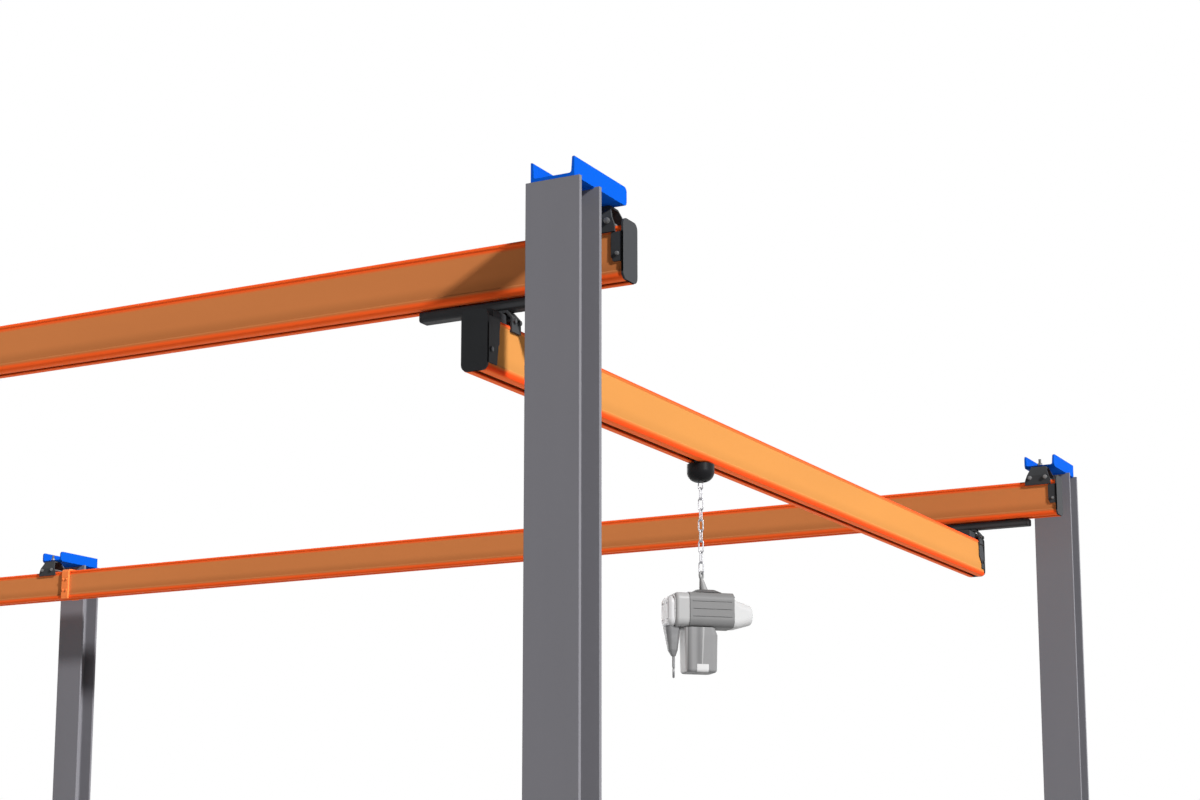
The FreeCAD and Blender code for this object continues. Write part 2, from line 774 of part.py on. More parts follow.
def build_hoist():
    """Hoist trolley in the girder, its chain, and the hoist with its hook."""
    x, y = bridge_x, hoist_from_middle
    cheek, wheels = trolley_solids(running_gap)
    save("hoist_trolley", [moved(cheek, x, y, bridge_bottom, 90)])
    wheel_places = [moved(wheel, 0, 0, 0, 90) for wheel in wheels]
    save("hoist_trolley_wheels", [moved(wheel, x, y, bridge_bottom) for wheel in wheel_places])
    save("hoist_trolley_dome", [moved(dome_solid(), x, y, dome_top)])
    link = link_solid()
    links = []
    for i in range(link_count):
        links.append(moved(link, x, y, chain_top - i * link_pitch, 90 * (i % 2)))
    save("suspension_chain", links)
    save("hoist_eye", [moved(eye_solid(), x, y, eye_z)])
    pieces = {
        "hoist_lid": lid_solid(),
        "hoist_housing": housing_solid(),
        "hoist_gear_case": gear_case_solid(),
        "hoist_gear_cover": gear_cover_solid(),
        "hoist_motor_cover": motor_cover_solid(),
        "hoist_chain_box": chain_box_solid(),
        "hoist_hook_block": hook_block_solid(),
        "load_hook": moved(hook_solid(), hook_axis, 0, block_top - block_height - hook_swivel_gap, hook_turn),
    }
    for name, solid in pieces.items():
        save(name, [moved(solid, x, y, eye_z, hoist_turn)])


os.makedirs("parts", exist_ok=True)
build_frame()
build_bridge()
build_hoist()
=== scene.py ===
"""Dress the light bridge crane: finishes, fasteners, weld seams, hoist trim, light and camera."""

import json
import logging
import math
from dataclasses import dataclass, replace
from enum import Enum
from functools import cache
from typing import Iterable, Sequence

import bpy
import numpy as np
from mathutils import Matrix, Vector


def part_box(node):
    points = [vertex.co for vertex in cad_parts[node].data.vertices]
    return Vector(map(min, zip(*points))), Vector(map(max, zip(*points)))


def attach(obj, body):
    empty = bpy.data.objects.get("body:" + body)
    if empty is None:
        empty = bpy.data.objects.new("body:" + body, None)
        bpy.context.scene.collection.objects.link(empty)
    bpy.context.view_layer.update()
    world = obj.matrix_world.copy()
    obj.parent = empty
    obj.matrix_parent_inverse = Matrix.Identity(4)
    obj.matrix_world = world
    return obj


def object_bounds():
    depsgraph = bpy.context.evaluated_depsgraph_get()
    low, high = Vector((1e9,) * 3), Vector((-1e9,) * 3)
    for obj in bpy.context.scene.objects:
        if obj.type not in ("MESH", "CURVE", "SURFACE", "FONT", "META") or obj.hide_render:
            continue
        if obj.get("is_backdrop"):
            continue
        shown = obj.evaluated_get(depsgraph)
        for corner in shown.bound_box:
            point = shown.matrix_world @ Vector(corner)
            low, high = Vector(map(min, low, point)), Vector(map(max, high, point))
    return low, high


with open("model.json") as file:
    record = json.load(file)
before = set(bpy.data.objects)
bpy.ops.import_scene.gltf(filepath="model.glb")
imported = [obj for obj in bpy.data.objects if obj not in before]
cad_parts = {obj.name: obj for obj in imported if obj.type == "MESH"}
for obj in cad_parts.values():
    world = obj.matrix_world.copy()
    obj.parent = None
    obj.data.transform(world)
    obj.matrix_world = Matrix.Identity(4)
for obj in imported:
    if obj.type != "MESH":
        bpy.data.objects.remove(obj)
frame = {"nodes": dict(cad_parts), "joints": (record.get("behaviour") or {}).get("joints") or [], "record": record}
CAD_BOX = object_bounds()

Array = np.ndarray
Triple = tuple[float, float, float]
Colour = Triple
Socket = bpy.types.NodeSocket
log = logging.getLogger("crane")

MM = 0.001
IMAGE_WIDTH = 1200
X_AXIS, Y_AXIS, Z_AXIS = np.eye(3)
WHITE = (1.0, 1.0, 1.0, 1.0)
PARALLEL = 1e-6


class Row(Enum):
    """The two rows of columns, each with the side of the crane that it stands on."""

    FRONT = -1
    REAR = 1

    @property
    def label(self) -> str:
        """Name of the row in the pieces' names."""
        return self.name.lower()


class Station(Enum):
    """The places of a column along its row."""

    LEFT = "left"
    MIDDLE = "middle"
    RIGHT = "right"


# Shapes worked out as whole arrays


@dataclass(frozen=True)
class Shape:
    """Closed surfaces as points in metres and groups of faces with equally many corners."""

    points: Array
    faces: tuple[Array, ...]

    def placed(self, matrices: Array) -> "Shape":
        """Copy the shape to every place.

        Each copy's points are the shape's points times one matrix, and its faces are renumbered by whole
        copies.

        Args:
            matrices: Places of the copies, of shape (copies, 4, 4).

        Returns:
            All the copies as one shape.
        """
        points = np.einsum("mij,vj->mvi", matrices[:, :3, :3], self.points) + matrices[:, None, :3, 3]
        step = np.arange(len(matrices))[:, None, None] * len(self.points)
        faces = tuple((group[None] + step).reshape(-1, group.shape[1]) for group in self.faces)
        return Shape(points.reshape(-1, 3), faces)

    def shifted(self, offset: Sequence[float]) -> "Shape":
        """Copy of the shape, moved by an offset."""
        return Shape(self.points + np.asarray(offset, float), self.faces)

    def flipped(self) -> "Shape":
        """Copy of the shape, turned half round the X axis."""
        return Shape(self.points * np.array([1.0, -1.0, -1.0]), self.faces)

    def mesh(self, name: str) -> bpy.types.Mesh:
        """Put the shape into a mesh.

        Args:
            name: Name of the mesh.

        Returns:
            The new mesh.
        """
        mesh = bpy.data.meshes.new(name)
        mesh.from_pydata(self.points.tolist(), [], [face for group in self.faces for face in group.tolist()])
        return mesh


def joined(shapes: Iterable[Shape]) -> Shape:
    """Put several shapes into one.

    Args:
        shapes: The shapes to join.

    Returns:
        One shape with all the points, and the faces renumbered.
    """
    shapes = list(shapes)
    starts = np.cumsum([0] + [len(shape.points) for shape in shapes[:-1]])
    faces = tuple(group + start for shape, start in zip(shapes, starts) for group in shape.faces)
    return Shape(np.concatenate([shape.points for shape in shapes]), faces)


def loft(rings: Array, closed: bool = False) -> Shape:
    """Skin a stack of rings that turn left about the way they are stacked.

    The surface is P(u, v), with v round a ring and u from ring to ring. Each quad joins points (u, v),
    (u, v + 1), (u + 1, v + 1) and (u + 1, v).

    Args:
        rings: Points of shape (rings, points round, 3).
        closed: Whether the last ring joins the first. If not, a flat cap ends each side.

    Returns:
        The skinned shape.
    """
    count, around = rings.shape[:2]
    index = np.arange(count * around).reshape(count, around)
    lower = index if closed else index[:-1]
    upper = np.roll(index, -1, axis=0) if closed else index[1:]
    quads = np.stack([lower, np.roll(lower, -1, 1), np.roll(upper, -1, 1), upper], -1).reshape(-1, 4)
    caps = () if closed else (np.stack([index[0][::-1], index[-1]]),)
    return Shape(rings.reshape(-1, 3), (quads, *caps))


def angles_round(around: int) -> Array:
    """Even angles once round, from zero."""
    return 2 * math.pi * np.arange(around) / around


def turned(radii: Array, heights: Array, around: int) -> Array:
    """Rings about the Z axis: (r cos a, r sin a, h), with a going once round.

    Args:
        radii: One radius for each ring, or an array of shape (rings, around).
        heights: One height for each ring, or an array like radii.
        around: Points round each ring.

    Returns:
        Points of shape (rings, around, 3).
    """
    angle = angles_round(around)
    radius = np.broadcast_to(np.reshape(radii, (len(radii), -1)), (len(radii), around))
    height = np.broadcast_to(np.reshape(heights, (len(radii), -1)), (len(radii), around))
    return np.stack([radius * np.cos(angle), radius * np.sin(angle), height], -1)


def hexagon_radii(flats: float, around: int) -> Array:
    """Hexagon's radius at even angles: half the flats over the cosine of the angle off the nearest flat."""
    return flats / 2 / np.cos(np.mod(angles_round(around), math.pi / 3) - math.pi / 6)


def rounded_loop(width: float, depth: float, radius: float, arc: int = 6) -> Array:
    """Rounded rectangle in the XY plane: each corner's centre plus the radius times a turning unit vector.

    Args:
        width: Size along X.
        depth: Size along Y.
        radius: Radius of the corners.
        arc: Points on each corner.

    Returns:
        The loop's points, of shape (4 * arc, 2).
    """
    turn = math.pi / 2 * (np.arange(4)[:, None] + np.linspace(0, 1, arc)[None])
    outward = np.stack([np.cos(turn), np.sin(turn)], -1)
    corner = np.array([[1, 1], [-1, 1], [-1, -1], [1, -1]])
    centre = corner * np.array([width / 2 - radius, depth / 2 - radius])
    return (centre[:, None] + radius * outward).reshape(-1, 2)


def rounded_bar(width: float, depth: float, radius: float, length: float) -> Shape:
    """Bar or plate: a rounded rectangle about the Z axis, carried along it from zero to the length.

    Args:
        width: Size along X.
        depth: Size along Y.
        radius: Radius of the rectangle's corners.
        length: Size along Z.

    Returns:
        The closed bar.
    """
    loop = rounded_loop(width, depth, radius)
    return loft(np.stack([np.insert(loop, 2, height, axis=1) for height in (0.0, length)]))


def places(origins: Array, towards: Array, upright: Array = Z_AXIS) -> Array:
    """Matrices that stand local +Z along a direction at each origin.

    Local X is the upright crossed with the direction. Where the two are parallel, it is the world's X made
    square to the direction.

    Args:
        origins: Points of shape (copies, 3).
        towards: One direction for all the copies.
        upright: A second direction, for the turn about the first.

    Returns:
        Matrices of shape (copies, 4, 4).
    """
    origins = np.atleast_2d(np.asarray(origins, float))
    z = np.asarray(towards, float) / np.linalg.norm(towards)
    side = np.cross(upright, z)
    side = side if np.linalg.norm(side) > PARALLEL else np.cross(z, np.cross(X_AXIS, z))
    x = side / np.linalg.norm(side)
    made = np.tile(np.eye(4), (len(origins), 1, 1))
    made[:, :3, :3] = np.stack([x, np.cross(z, x), z], 1)
    made[:, :3, 3] = origins
    return made


def box_points(xs: Sequence[float], ys: Sequence[float], zs: Sequence[float]) -> Array:
    """Every combination of the given coordinates, as points of shape (count, 3)."""
    return np.stack(np.meshgrid(xs, ys, zs, indexing="ij"), -1).reshape(-1, 3)


@dataclass(frozen=True)
class HexFastener:
    """A hexagon-head fastener of one thread size, with its axis along Z.

    The crown is a share of the flats and the washer's edge one of its thickness. The thread's depth, the
    taper of its tip and the tail that stands out of a nut are shares of the pitch.
    """

    thread: float
    flats: float
    height: float
    washer: float
    washer_thickness: float
    pitch: float
    around: int = 24
    chamfer: float = math.radians(30)
    crown: float = 0.47
    washer_edge: float = 0.15
    thread_depth: float = 0.55
    thread_steps: int = 4
    tip_taper: float = 0.3
    tail: float = 1.5

    def hexagon(self) -> Shape:
        """Head or nut with a chamfered top: a cone cuts the corners down by the tangent of its slope.

        Returns:
            The head, standing on z = 0.
        """
        hexagon = hexagon_radii(self.flats, self.around)
        circle = np.full(self.around, self.crown * self.flats)
        cut = (hexagon - circle) * math.tan(self.chamfer)
        radii = np.stack([hexagon, hexagon, circle])
        heights = np.stack([0 * cut, self.height - cut, 0 * cut + self.height])
        return loft(turned(radii, heights, self.around))

    def flat_washer(self) -> Shape:
        """Washer as a closed ring: a rectangular section with a small edge, carried once round.

        Returns:
            The washer, lying on z = 0.
        """
        edge = self.washer_edge * self.washer_thickness
        outer, inner, top = self.washer / 2, self.thread / 2, self.washer_thickness
        radii = np.array([inner, outer - edge, outer, outer, outer - edge, inner])
        heights = np.array([0, 0, edge, top - edge, top, top])
        return loft(turned(radii, heights, self.around), closed=True)

    def plain_rod(self, low: float, high: float) -> Shape:
        """Plain shank between two heights."""
        radius = self.thread / 2
        return loft(turned(np.array([radius, radius]), np.array([low, high]), self.around))

    def threaded_rod(self, low: float, high: float) -> Shape:
        """Threaded end between two heights.

        The radius swings between root and crest with the height over the pitch less the angle over a turn,
        and falls off at the tip.

        Args:
            low: Height of the thread's start.
            high: Height of its tip.

        Returns:
            The threaded end.
        """
        steps = self.thread_steps * max(2, round((high - low) / self.pitch))
        height = np.linspace(low, high, steps + 1)[:, None]
        turn = np.arange(self.around)[None] / self.around
        wave = np.abs(np.mod(height / self.pitch - turn, 1.0) - 0.5) * 2
        depth = self.thread_depth * self.pitch
        tip = np.clip((high - height) / self.pitch, 0, 1)
        radii = self.thread / 2 - depth * wave - self.tip_taper * self.pitch * (1 - tip)
        return loft(turned(radii, np.repeat(height, self.around, 1), self.around))

    def seat(self) -> Shape:
        """Washer with the head or nut on it, standing on z = 0."""
        return joined([self.flat_washer(), self.hexagon().shifted((0, 0, self.washer_thickness))])

    def through(self, grip: float) -> Shape:
        """Bolt through a grip: head on z = 0, shank, and nut with a threaded end below.

        Args:
            grip: Thickness of what it holds.

        Returns:
            The bolt with its washers and its nut.
        """
        end = self.washer_thickness + self.height + self.tail * self.pitch
        nut = self.seat().flipped().shifted((0, 0, -grip))
        tail = self.threaded_rod(0, end).flipped().shifted((0, 0, -grip))
        return joined([self.seat(), self.plain_rod(-grip, 0), nut, tail])

    def stud(self, stick: float) -> Shape:
        """Nut and washer on z = 0 with a threaded end that sticks out by a given height."""
        return joined([self.seat(), self.threaded_rod(0, stick)])


@dataclass(frozen=True)
class SocketScrew:
    """A socket-head cap screw's head, whose rim and whose socket's floor are shares of its height."""

    head: float
    height: float
    socket: float
    around: int = 24
    rim_share: float = 0.12
    floor_share: float = 0.45
    rim_bulge: float = 0.3

    def shape(self) -> Shape:
        """Head with a rounded rim and a hexagon socket.

        Rings go up the outside, over the rim, in to the hexagon and down to its floor.

        Returns:
            The head, standing on z = 0.
        """
        rim = self.rim_share * self.height
        inset = np.array([0, 0, self.rim_bulge * rim, rim])
        outside = (self.head / 2 - inset)[:, None] * np.ones(self.around)
        inside = np.tile(hexagon_radii(self.socket, self.around), (2, 1))
        top = self.height
        levels = np.array([0, top - rim, top - self.rim_bulge * rim, top, top, self.floor_share * top])
        return loft(turned(np.concatenate([outside, inside]), levels, self.around))


@dataclass(frozen=True)
class Weld:
    """A fillet weld with legs of one size, which ripples along its way and sways a little."""

    size: float = 6 * MM
    ripple: float = 5 * MM
    ripple_share: float = 0.09
    ripple_steps: int = 3
    sway_share: float = 0.05
    sway_rate: float = 11.0
    sway_start: float = 40.0
    end_share: float = 0.25
    least_steps: int = 8
    arch_points: int = 5

    def bead(self, start: Array, end: Array, wall: Array, floor: Array) -> Shape:
        """Weld along the corner of two faces.

        Its section is the corner and a low arch from the wall to the floor, halfway between a chord and a
        quarter circle. The section swells and shrinks with a sine of the way along over the ripple's length,
        and dies away at the ends.

        Args:
            start: Where the bead starts, on the corner.
            end: Where the bead ends.
            wall: Unit vector from the corner up the wall.
            floor: Unit vector from the corner out along the floor.

        Returns:
            The bead as a closed shape.
        """
        along = np.asarray(end, float) - start
        length = float(np.linalg.norm(along))
        first, second = (wall, floor) if np.dot(np.cross(wall, floor), along) > 0 else (floor, wall)
        steps = max(self.least_steps, round(self.ripple_steps * length / self.ripple))
        way = np.linspace(0, 1, steps + 1)
        ripple = self.ripple_share * np.sin(2 * math.pi * way * length / self.ripple)
        sway = self.sway_share * np.sin(self.sway_rate * way + self.sway_start * length)
        fade = np.clip(np.minimum(way, 1 - way) * length / self.size, self.end_share, 1) ** 0.5
        arch = np.linspace(0, math.pi / 2, self.arch_points)
        share = np.linspace(0, 1, self.arch_points)
        a = np.concatenate([[0], (np.cos(arch) + 1 - share) / 2])
        b = np.concatenate([[0], (np.sin(arch) + share) / 2])
        section = a[:, None] * first + b[:, None] * second
        swell = self.size * (1 + ripple + sway) * fade
        return loft(start + way[:, None, None] * along + swell[:, None, None] * section)


def swept_bar(path: Array, width: Array, thickness: float, across: Array, around: int = 16) -> Shape:
    """Flat bar of rounded section carried along a path.

    The section is an ellipse-like loop: width times cos, and thickness times sin, each raised to the half
    power with its sign kept. It is stretched between the across direction and the normal of the path.

    Args:
        path: Points of shape (steps, 3).
        width: Width at each step.
        thickness: Thickness of the bar.
        across: Unit vector across the bar.
        around: Points round the section.

    Returns:
        The bar as a closed shape.
    """
    cos, sin = np.cos(angles_round(around)), np.sin(angles_round(around))
    flat = np.sign(cos) * np.abs(cos) ** 0.5
    tall = np.sign(sin) * np.abs(sin) ** 0.5
    tangent = np.gradient(path, axis=0)
    tangent /= np.linalg.norm(tangent, axis=1, keepdims=True)
    normal = np.cross(tangent, across)
    side = width[:, None, None] / 2 * flat[None, :, None] * across
    rise = thickness / 2 * tall[None, :, None] * normal[:, None]
    return loft(path[:, None] + side - rise)


# Shader effects that several finishes share, and the two ends of their ramps

EDGE_LEAN = (0.03, 0.25)
WEAR_CLOUD = (0.42, 0.68)
DUST_FACING = (0.35, 0.95)
DUST_CLOUD = (0.25, 0.75)
# Normal heights over which down-facing faces take the underside's painted light
UNDERSIDE_PAINTED_LIGHT_FACING = (-0.6, -0.95)
FINE_SCALE = 3.1
FINE_WEIGHT = 0.5
BEVEL_SAMPLES = 4


class Graph:
    """A node tree that is being wired."""

    def __init__(self, tree: bpy.types.NodeTree) -> None:
        """Keep the tree to add to."""
        self.tree = tree

    @classmethod
    def of(cls, holder: bpy.types.Material | bpy.types.World) -> "Graph":
        """Empty graph of a new material or world.

        Args:
            holder: The material or world.

        Returns:
            Its graph, with no node in it.
        """
        holder.use_nodes = True
        holder.node_tree.nodes.clear()
        return cls(holder.node_tree)

    def add(self, kind: str, values: dict | None = None, **settings: object) -> bpy.types.Node:
        """Add a node.

        Args:
            kind: Blender's name for the kind of node.
            values: A socket to link from, or a constant, for each named or numbered input.
            **settings: Attributes of the node.

        Returns:
            The new node.
        """
        node = self.tree.nodes.new(kind)
        for name, setting in settings.items():
            setattr(node, name, setting)
        for name, value in (values or {}).items():
            if isinstance(value, Socket):
                self.tree.links.new(value, node.inputs[name])
            else:
                node.inputs[name].default_value = value
        return node

    def math(self, operation: str, *terms: Socket | float, clamp: bool = False) -> Socket:
        """Add a math node and return its result."""
        node = self.add("ShaderNodeMath", dict(enumerate(terms)), operation=operation, use_clamp=clamp)
        return node.outputs[0]

    def ramp(self, value: Socket, low: float | Socket, high: float | Socket) -> Socket:
        """Smooth step of a value from 0 at low to 1 at high."""
        values = {"Value": value, "From Min": low, "From Max": high}
        return self.add("ShaderNodeMapRange", values, interpolation_type="SMOOTHSTEP").outputs[0]

    def mix(self, share: Socket | float, first: Socket | tuple, second: Socket | tuple,
            blend: str = "MIX") -> Socket:
        """Mix two colours by a share, through the mix node's numbered sockets for colours."""
        terms = {0: share, 6: first, 7: second}
        return self.add("ShaderNodeMix", terms, data_type="RGBA", blend_type=blend).outputs[2]

    def noise(self, vector: Socket, scale: float | Socket, detail: float) -> Socket:
        """Noise on a vector, from 0 to 1."""
        return self.add("ShaderNodeTexNoise", {"Vector": vector, "Scale": scale, "Detail": detail}).outputs[0]

    def object_coords(self) -> Socket:
        """Object coordinates in metres."""
        return self.add("ShaderNodeTexCoord").outputs["Object"]

    def combine(self, operation: str, first: Socket, second: Socket | Triple) -> bpy.types.Node:
        """Combine two vectors."""
        return self.add("ShaderNodeVectorMath", {0: first, 1: second}, operation=operation)

    def normal(self) -> Socket:
        """Normal of the surface."""
        return self.add("ShaderNodeNewGeometry").outputs["Normal"]

    def upward(self, vector: Socket) -> Socket:
        """Part of a vector along Z."""
        return self.add("ShaderNodeSeparateXYZ", {0: vector}).outputs["Z"]

    def seen_by(self, *rays: str) -> Socket:
        """Mask of some kinds of rays.

        Args:
            *rays: Names of the light path's outputs.

        Returns:
            One for those rays, zero for others.
        """
        path = self.add("ShaderNodeLightPath").outputs
        shown = path[rays[0]]
        for ray in rays[1:]:
            shown = self.math("MAXIMUM", shown, path[ray])
        return shown

    def effect(self, group: bpy.types.NodeTree, values: dict) -> bpy.types.Node:
        """Place a shared effect with its own values."""
        return self.add("ShaderNodeGroup", values, node_tree=group)


def new_effect(name: str, inputs: dict[str, float | Triple], outputs: dict[str, str]) -> tuple[Graph, dict]:
    """Start a shader node group.

    Args:
        name: Name of the group.
        inputs: Default of each input, a number or a vector.
        outputs: Socket type of each output.

    Returns:
        The group's graph, and its input sockets by name.
    """
    tree = bpy.data.node_groups.new(name, "ShaderNodeTree")
    for label, default in inputs.items():
        kind = "NodeSocketFloat" if isinstance(default, float) else "NodeSocketVector"
        tree.interface.new_socket(label, in_out="INPUT", socket_type=kind).default_value = default
    for label, kind in outputs.items():
        tree.interface.new_socket(label, in_out="OUTPUT", socket_type=kind)
    graph = Graph(tree)
    inlet = graph.add("NodeGroupInput")
    return graph, {label: inlet.outputs[label] for label in inputs}


@cache
def edge_wear() -> bpy.types.NodeTree:
    """Rounded edges and a mask of their wear.

    A bevelled normal leans away from the face near an edge. One minus the dot product of the two, stretched
    and broken up by noise, is the mask.

    Returns:
        The effect's node group.
    """
    inputs = {"Radius": 2 * MM, "Amount": 0.5, "Breakup": 40.0}
    outputs = {"Mask": "NodeSocketFloat", "Normal": "NodeSocketVector"}
    graph, given = new_effect("edge_wear", inputs, outputs)
    bevel = graph.add("ShaderNodeBevel", {"Radius": given["Radius"]}, samples=BEVEL_SAMPLES).outputs[0]
    lean = graph.combine("DOT_PRODUCT", bevel, graph.normal()).outputs["Value"]
    edge = graph.ramp(graph.math("SUBTRACT", 1.0, lean), *EDGE_LEAN)
    breakup = graph.ramp(graph.noise(graph.object_coords(), given["Breakup"], detail=5.0), *WEAR_CLOUD)
    worn = graph.math("MULTIPLY", graph.math("MULTIPLY", edge, breakup), given["Amount"], clamp=True)
    graph.add("NodeGroupOutput", {"Mask": worn, "Normal": bevel})
    return graph.tree


@cache
def settled_dust() -> bpy.types.NodeTree:
    """Mask of dust on what faces up: the normal's height, thinned by noise.

    Returns:
        The effect's node group.
    """
    inputs = {"Amount": 0.3, "Scale": 9.0}
    graph, given = new_effect("settled_dust", inputs, {"Mask": "NodeSocketFloat"})
    cloud = graph.noise(graph.object_coords(), given["Scale"], detail=6.0)
    facing = graph.ramp(graph.upward(graph.normal()), *DUST_FACING)
    mask = graph.math("MULTIPLY", facing, graph.ramp(cloud, *DUST_CLOUD))
    graph.add("NodeGroupOutput", {"Mask": graph.math("MULTIPLY", mask, given["Amount"], clamp=True)})
    return graph.tree


@cache
def mottling() -> bpy.types.NodeTree:
    """Slow change of tone: one plus a share of the noise on stretched coordinates, about its middle.

    Returns:
        The effect's node group.
    """
    inputs = {"Scale": 2.0, "Strength": 0.1, "Stretch": (1.0, 1.0, 1.0)}
    graph, given = new_effect("mottling", inputs, {"Tone": "NodeSocketFloat"})
    coords = graph.combine("MULTIPLY", graph.object_coords(), given["Stretch"]).outputs[0]
    cloud = graph.noise(coords, given["Scale"], detail=4.0)
    swing = graph.math("MULTIPLY", graph.math("SUBTRACT", cloud, 0.5), given["Strength"])
    graph.add("NodeGroupOutput", {"Tone": graph.math("MULTIPLY_ADD", swing, 2.0, 1.0)})
    return graph.tree


@cache
def fine_grain() -> bpy.types.NodeTree:
    """Height of a fine texture: two sizes of noise, the smaller one at half weight.

    Returns:
        The effect's node group.
    """
    graph, given = new_effect("fine_grain", {"Scale": 300.0}, {"Height": "NodeSocketFloat"})
    coords = graph.object_coords()
    coarse = graph.noise(coords, given["Scale"], detail=2.0)
    fine = graph.noise(coords, graph.math("MULTIPLY", given["Scale"], FINE_SCALE), detail=1.0)
    graph.add("NodeGroupOutput", {"Height": graph.math("MULTIPLY_ADD", fine, FINE_WEIGHT, coarse)})
    return graph.tree


# Finishes


def grey(level: float, blue: float | None = None) -> Colour:
    """Grey of one level, with its own blue where it isn't neutral."""
    return (level, level, level if blue is None else blue)


@dataclass(frozen=True)
class Finish:
    """A finish: its colour and gloss, its grain, and how it wears and gathers dust."""

    name: str
    slot: str
    colour: Colour
    roughness: float
    metallic: float = 0.0
    specular: float = 0.5
    grain_scale: float = 300.0
    grain_height: float = 0.05 * MM
    grain_strength: float = 0.6
    mottle: float = 0.08
    mottle_scale: float = 2.0
    mottle_stretch: Triple = (1.0, 1.0, 1.0)
    edge_radius: float = 2 * MM
    wear: float = 0.3
    wear_colour: Colour = (0.35, 0.34, 0.33)
    wear_scale: float = 30.0
    dust: float = 0.25
    dust_colour: Colour = (0.34, 0.32, 0.30)
    dust_roughness: float = 0.3

    def base(self, graph: Graph) -> Socket | tuple:
        """Colour before tone, wear and dust."""
        return (*self.colour, 1.0)

    def material(self) -> bpy.types.Material:
        """Build the material, or return the one that was built before.

        Returns:
            A material whose colour, roughness and normal come from the shared effects.
        """
        made = bpy.data.materials.get(self.name)
        if made:
            return made
        made = bpy.data.materials.new(self.name)
        graph = Graph.of(made)
        mottled = {"Scale": self.mottle_scale, "Strength": self.mottle, "Stretch": self.mottle_stretch}
        worn = {"Radius": self.edge_radius, "Amount": self.wear, "Breakup": self.wear_scale}
        tone = graph.effect(mottling(), mottled).outputs["Tone"]
        edge = graph.effect(edge_wear(), worn).outputs
        dust = graph.effect(settled_dust(), {"Amount": self.dust}).outputs["Mask"]
        grain = graph.effect(fine_grain(), {"Scale": self.grain_scale}).outputs["Height"]
        colour = graph.mix(1.0, self.base(graph), tone, "MULTIPLY")
        colour = graph.mix(edge["Mask"], colour, (*self.wear_colour, 1.0))
        colour = graph.mix(dust, colour, (*self.dust_colour, 1.0))
        rough = graph.math("MULTIPLY", tone, self.roughness)
        rough = graph.math("MULTIPLY_ADD", dust, self.dust_roughness, rough, clamp=True)
        bump = graph.add("ShaderNodeBump", {
            "Strength": self.grain_strength, "Distance": self.grain_height, "Height": grain,
            "Normal": edge["Normal"]}).outputs[0]
        shader = graph.add("ShaderNodeBsdfPrincipled", {
            "Base Color": colour, "Roughness": rough, "Metallic": self.metallic, "Normal": bump,
            "Specular IOR Level": self.specular})
        graph.add("ShaderNodeOutputMaterial", {"Surface": shader.outputs[0]})
        return made

    def dress(self, piece: bpy.types.Object) -> None:
        """Give a piece this finish, in all its material slots.

        Args:
            piece: The object to dress.
        """
        if not piece.material_slots:
            piece.data.materials.append(None)
        for place in piece.material_slots:
            place.material = self.material()


@dataclass(frozen=True)
class BandedFinish(Finish):
    """Paint of a rolled profile; painted shading makes its head and foot a redder orange than web and sole."""

    # Head and foot bands: painted shading of the rounded corners, in a redder orange
    band_colour: Colour = (0.93, 0.112, 0.018)
    # Faces that look down: painted light from below, in their own orange
    sole_colour: Colour = (0.88, 0.130, 0.024)
    top: float = 0.0
    bottom: float = 0.0
    head: float = 28 * MM
    foot: float = 24 * MM
    fade: float = 8 * MM
    # Painted shade above the web's foot: the share of colour it keeps, and the heights it fades over
    dull: float = 0.82
    dull_low: float = 42 * MM
    dull_high: float = 85 * MM

    def base(self, graph: Graph) -> Socket:
        """Web colour between the bands, by the height in the profile, and the underside's painted light where it
        faces down.

        The web is darker above its foot, a painted shade.

        Args:
            graph: The material's graph.

        Returns:
            The colour.
        """
        height = graph.upward(graph.object_coords())
        head, foot = self.top - self.head, self.bottom + self.foot
        upper = graph.ramp(height, head - self.fade, head + self.fade)
        lower = graph.ramp(height, foot + self.fade, foot - self.fade)
        # Where the head and foot bands' painted shading goes
        painted_shading_band = graph.math("MAXIMUM", upper, lower)
        # Painted light on faces that look down
        down = graph.ramp(graph.upward(graph.normal()), *UNDERSIDE_PAINTED_LIGHT_FACING)
        # Painted shade, darkening the web towards its foot
        unshaded_share = graph.ramp(height, self.bottom + self.dull_low, self.bottom + self.dull_high)
        foot_shaded_colour = tuple(self.dull * part for part in self.colour)
        web = graph.mix(unshaded_share, (*foot_shaded_colour, 1.0), (*self.colour, 1.0))
        sides = graph.mix(painted_shading_band, web, (*self.band_colour, 1.0))
        return graph.mix(down, sides, (*self.sole_colour, 1.0))


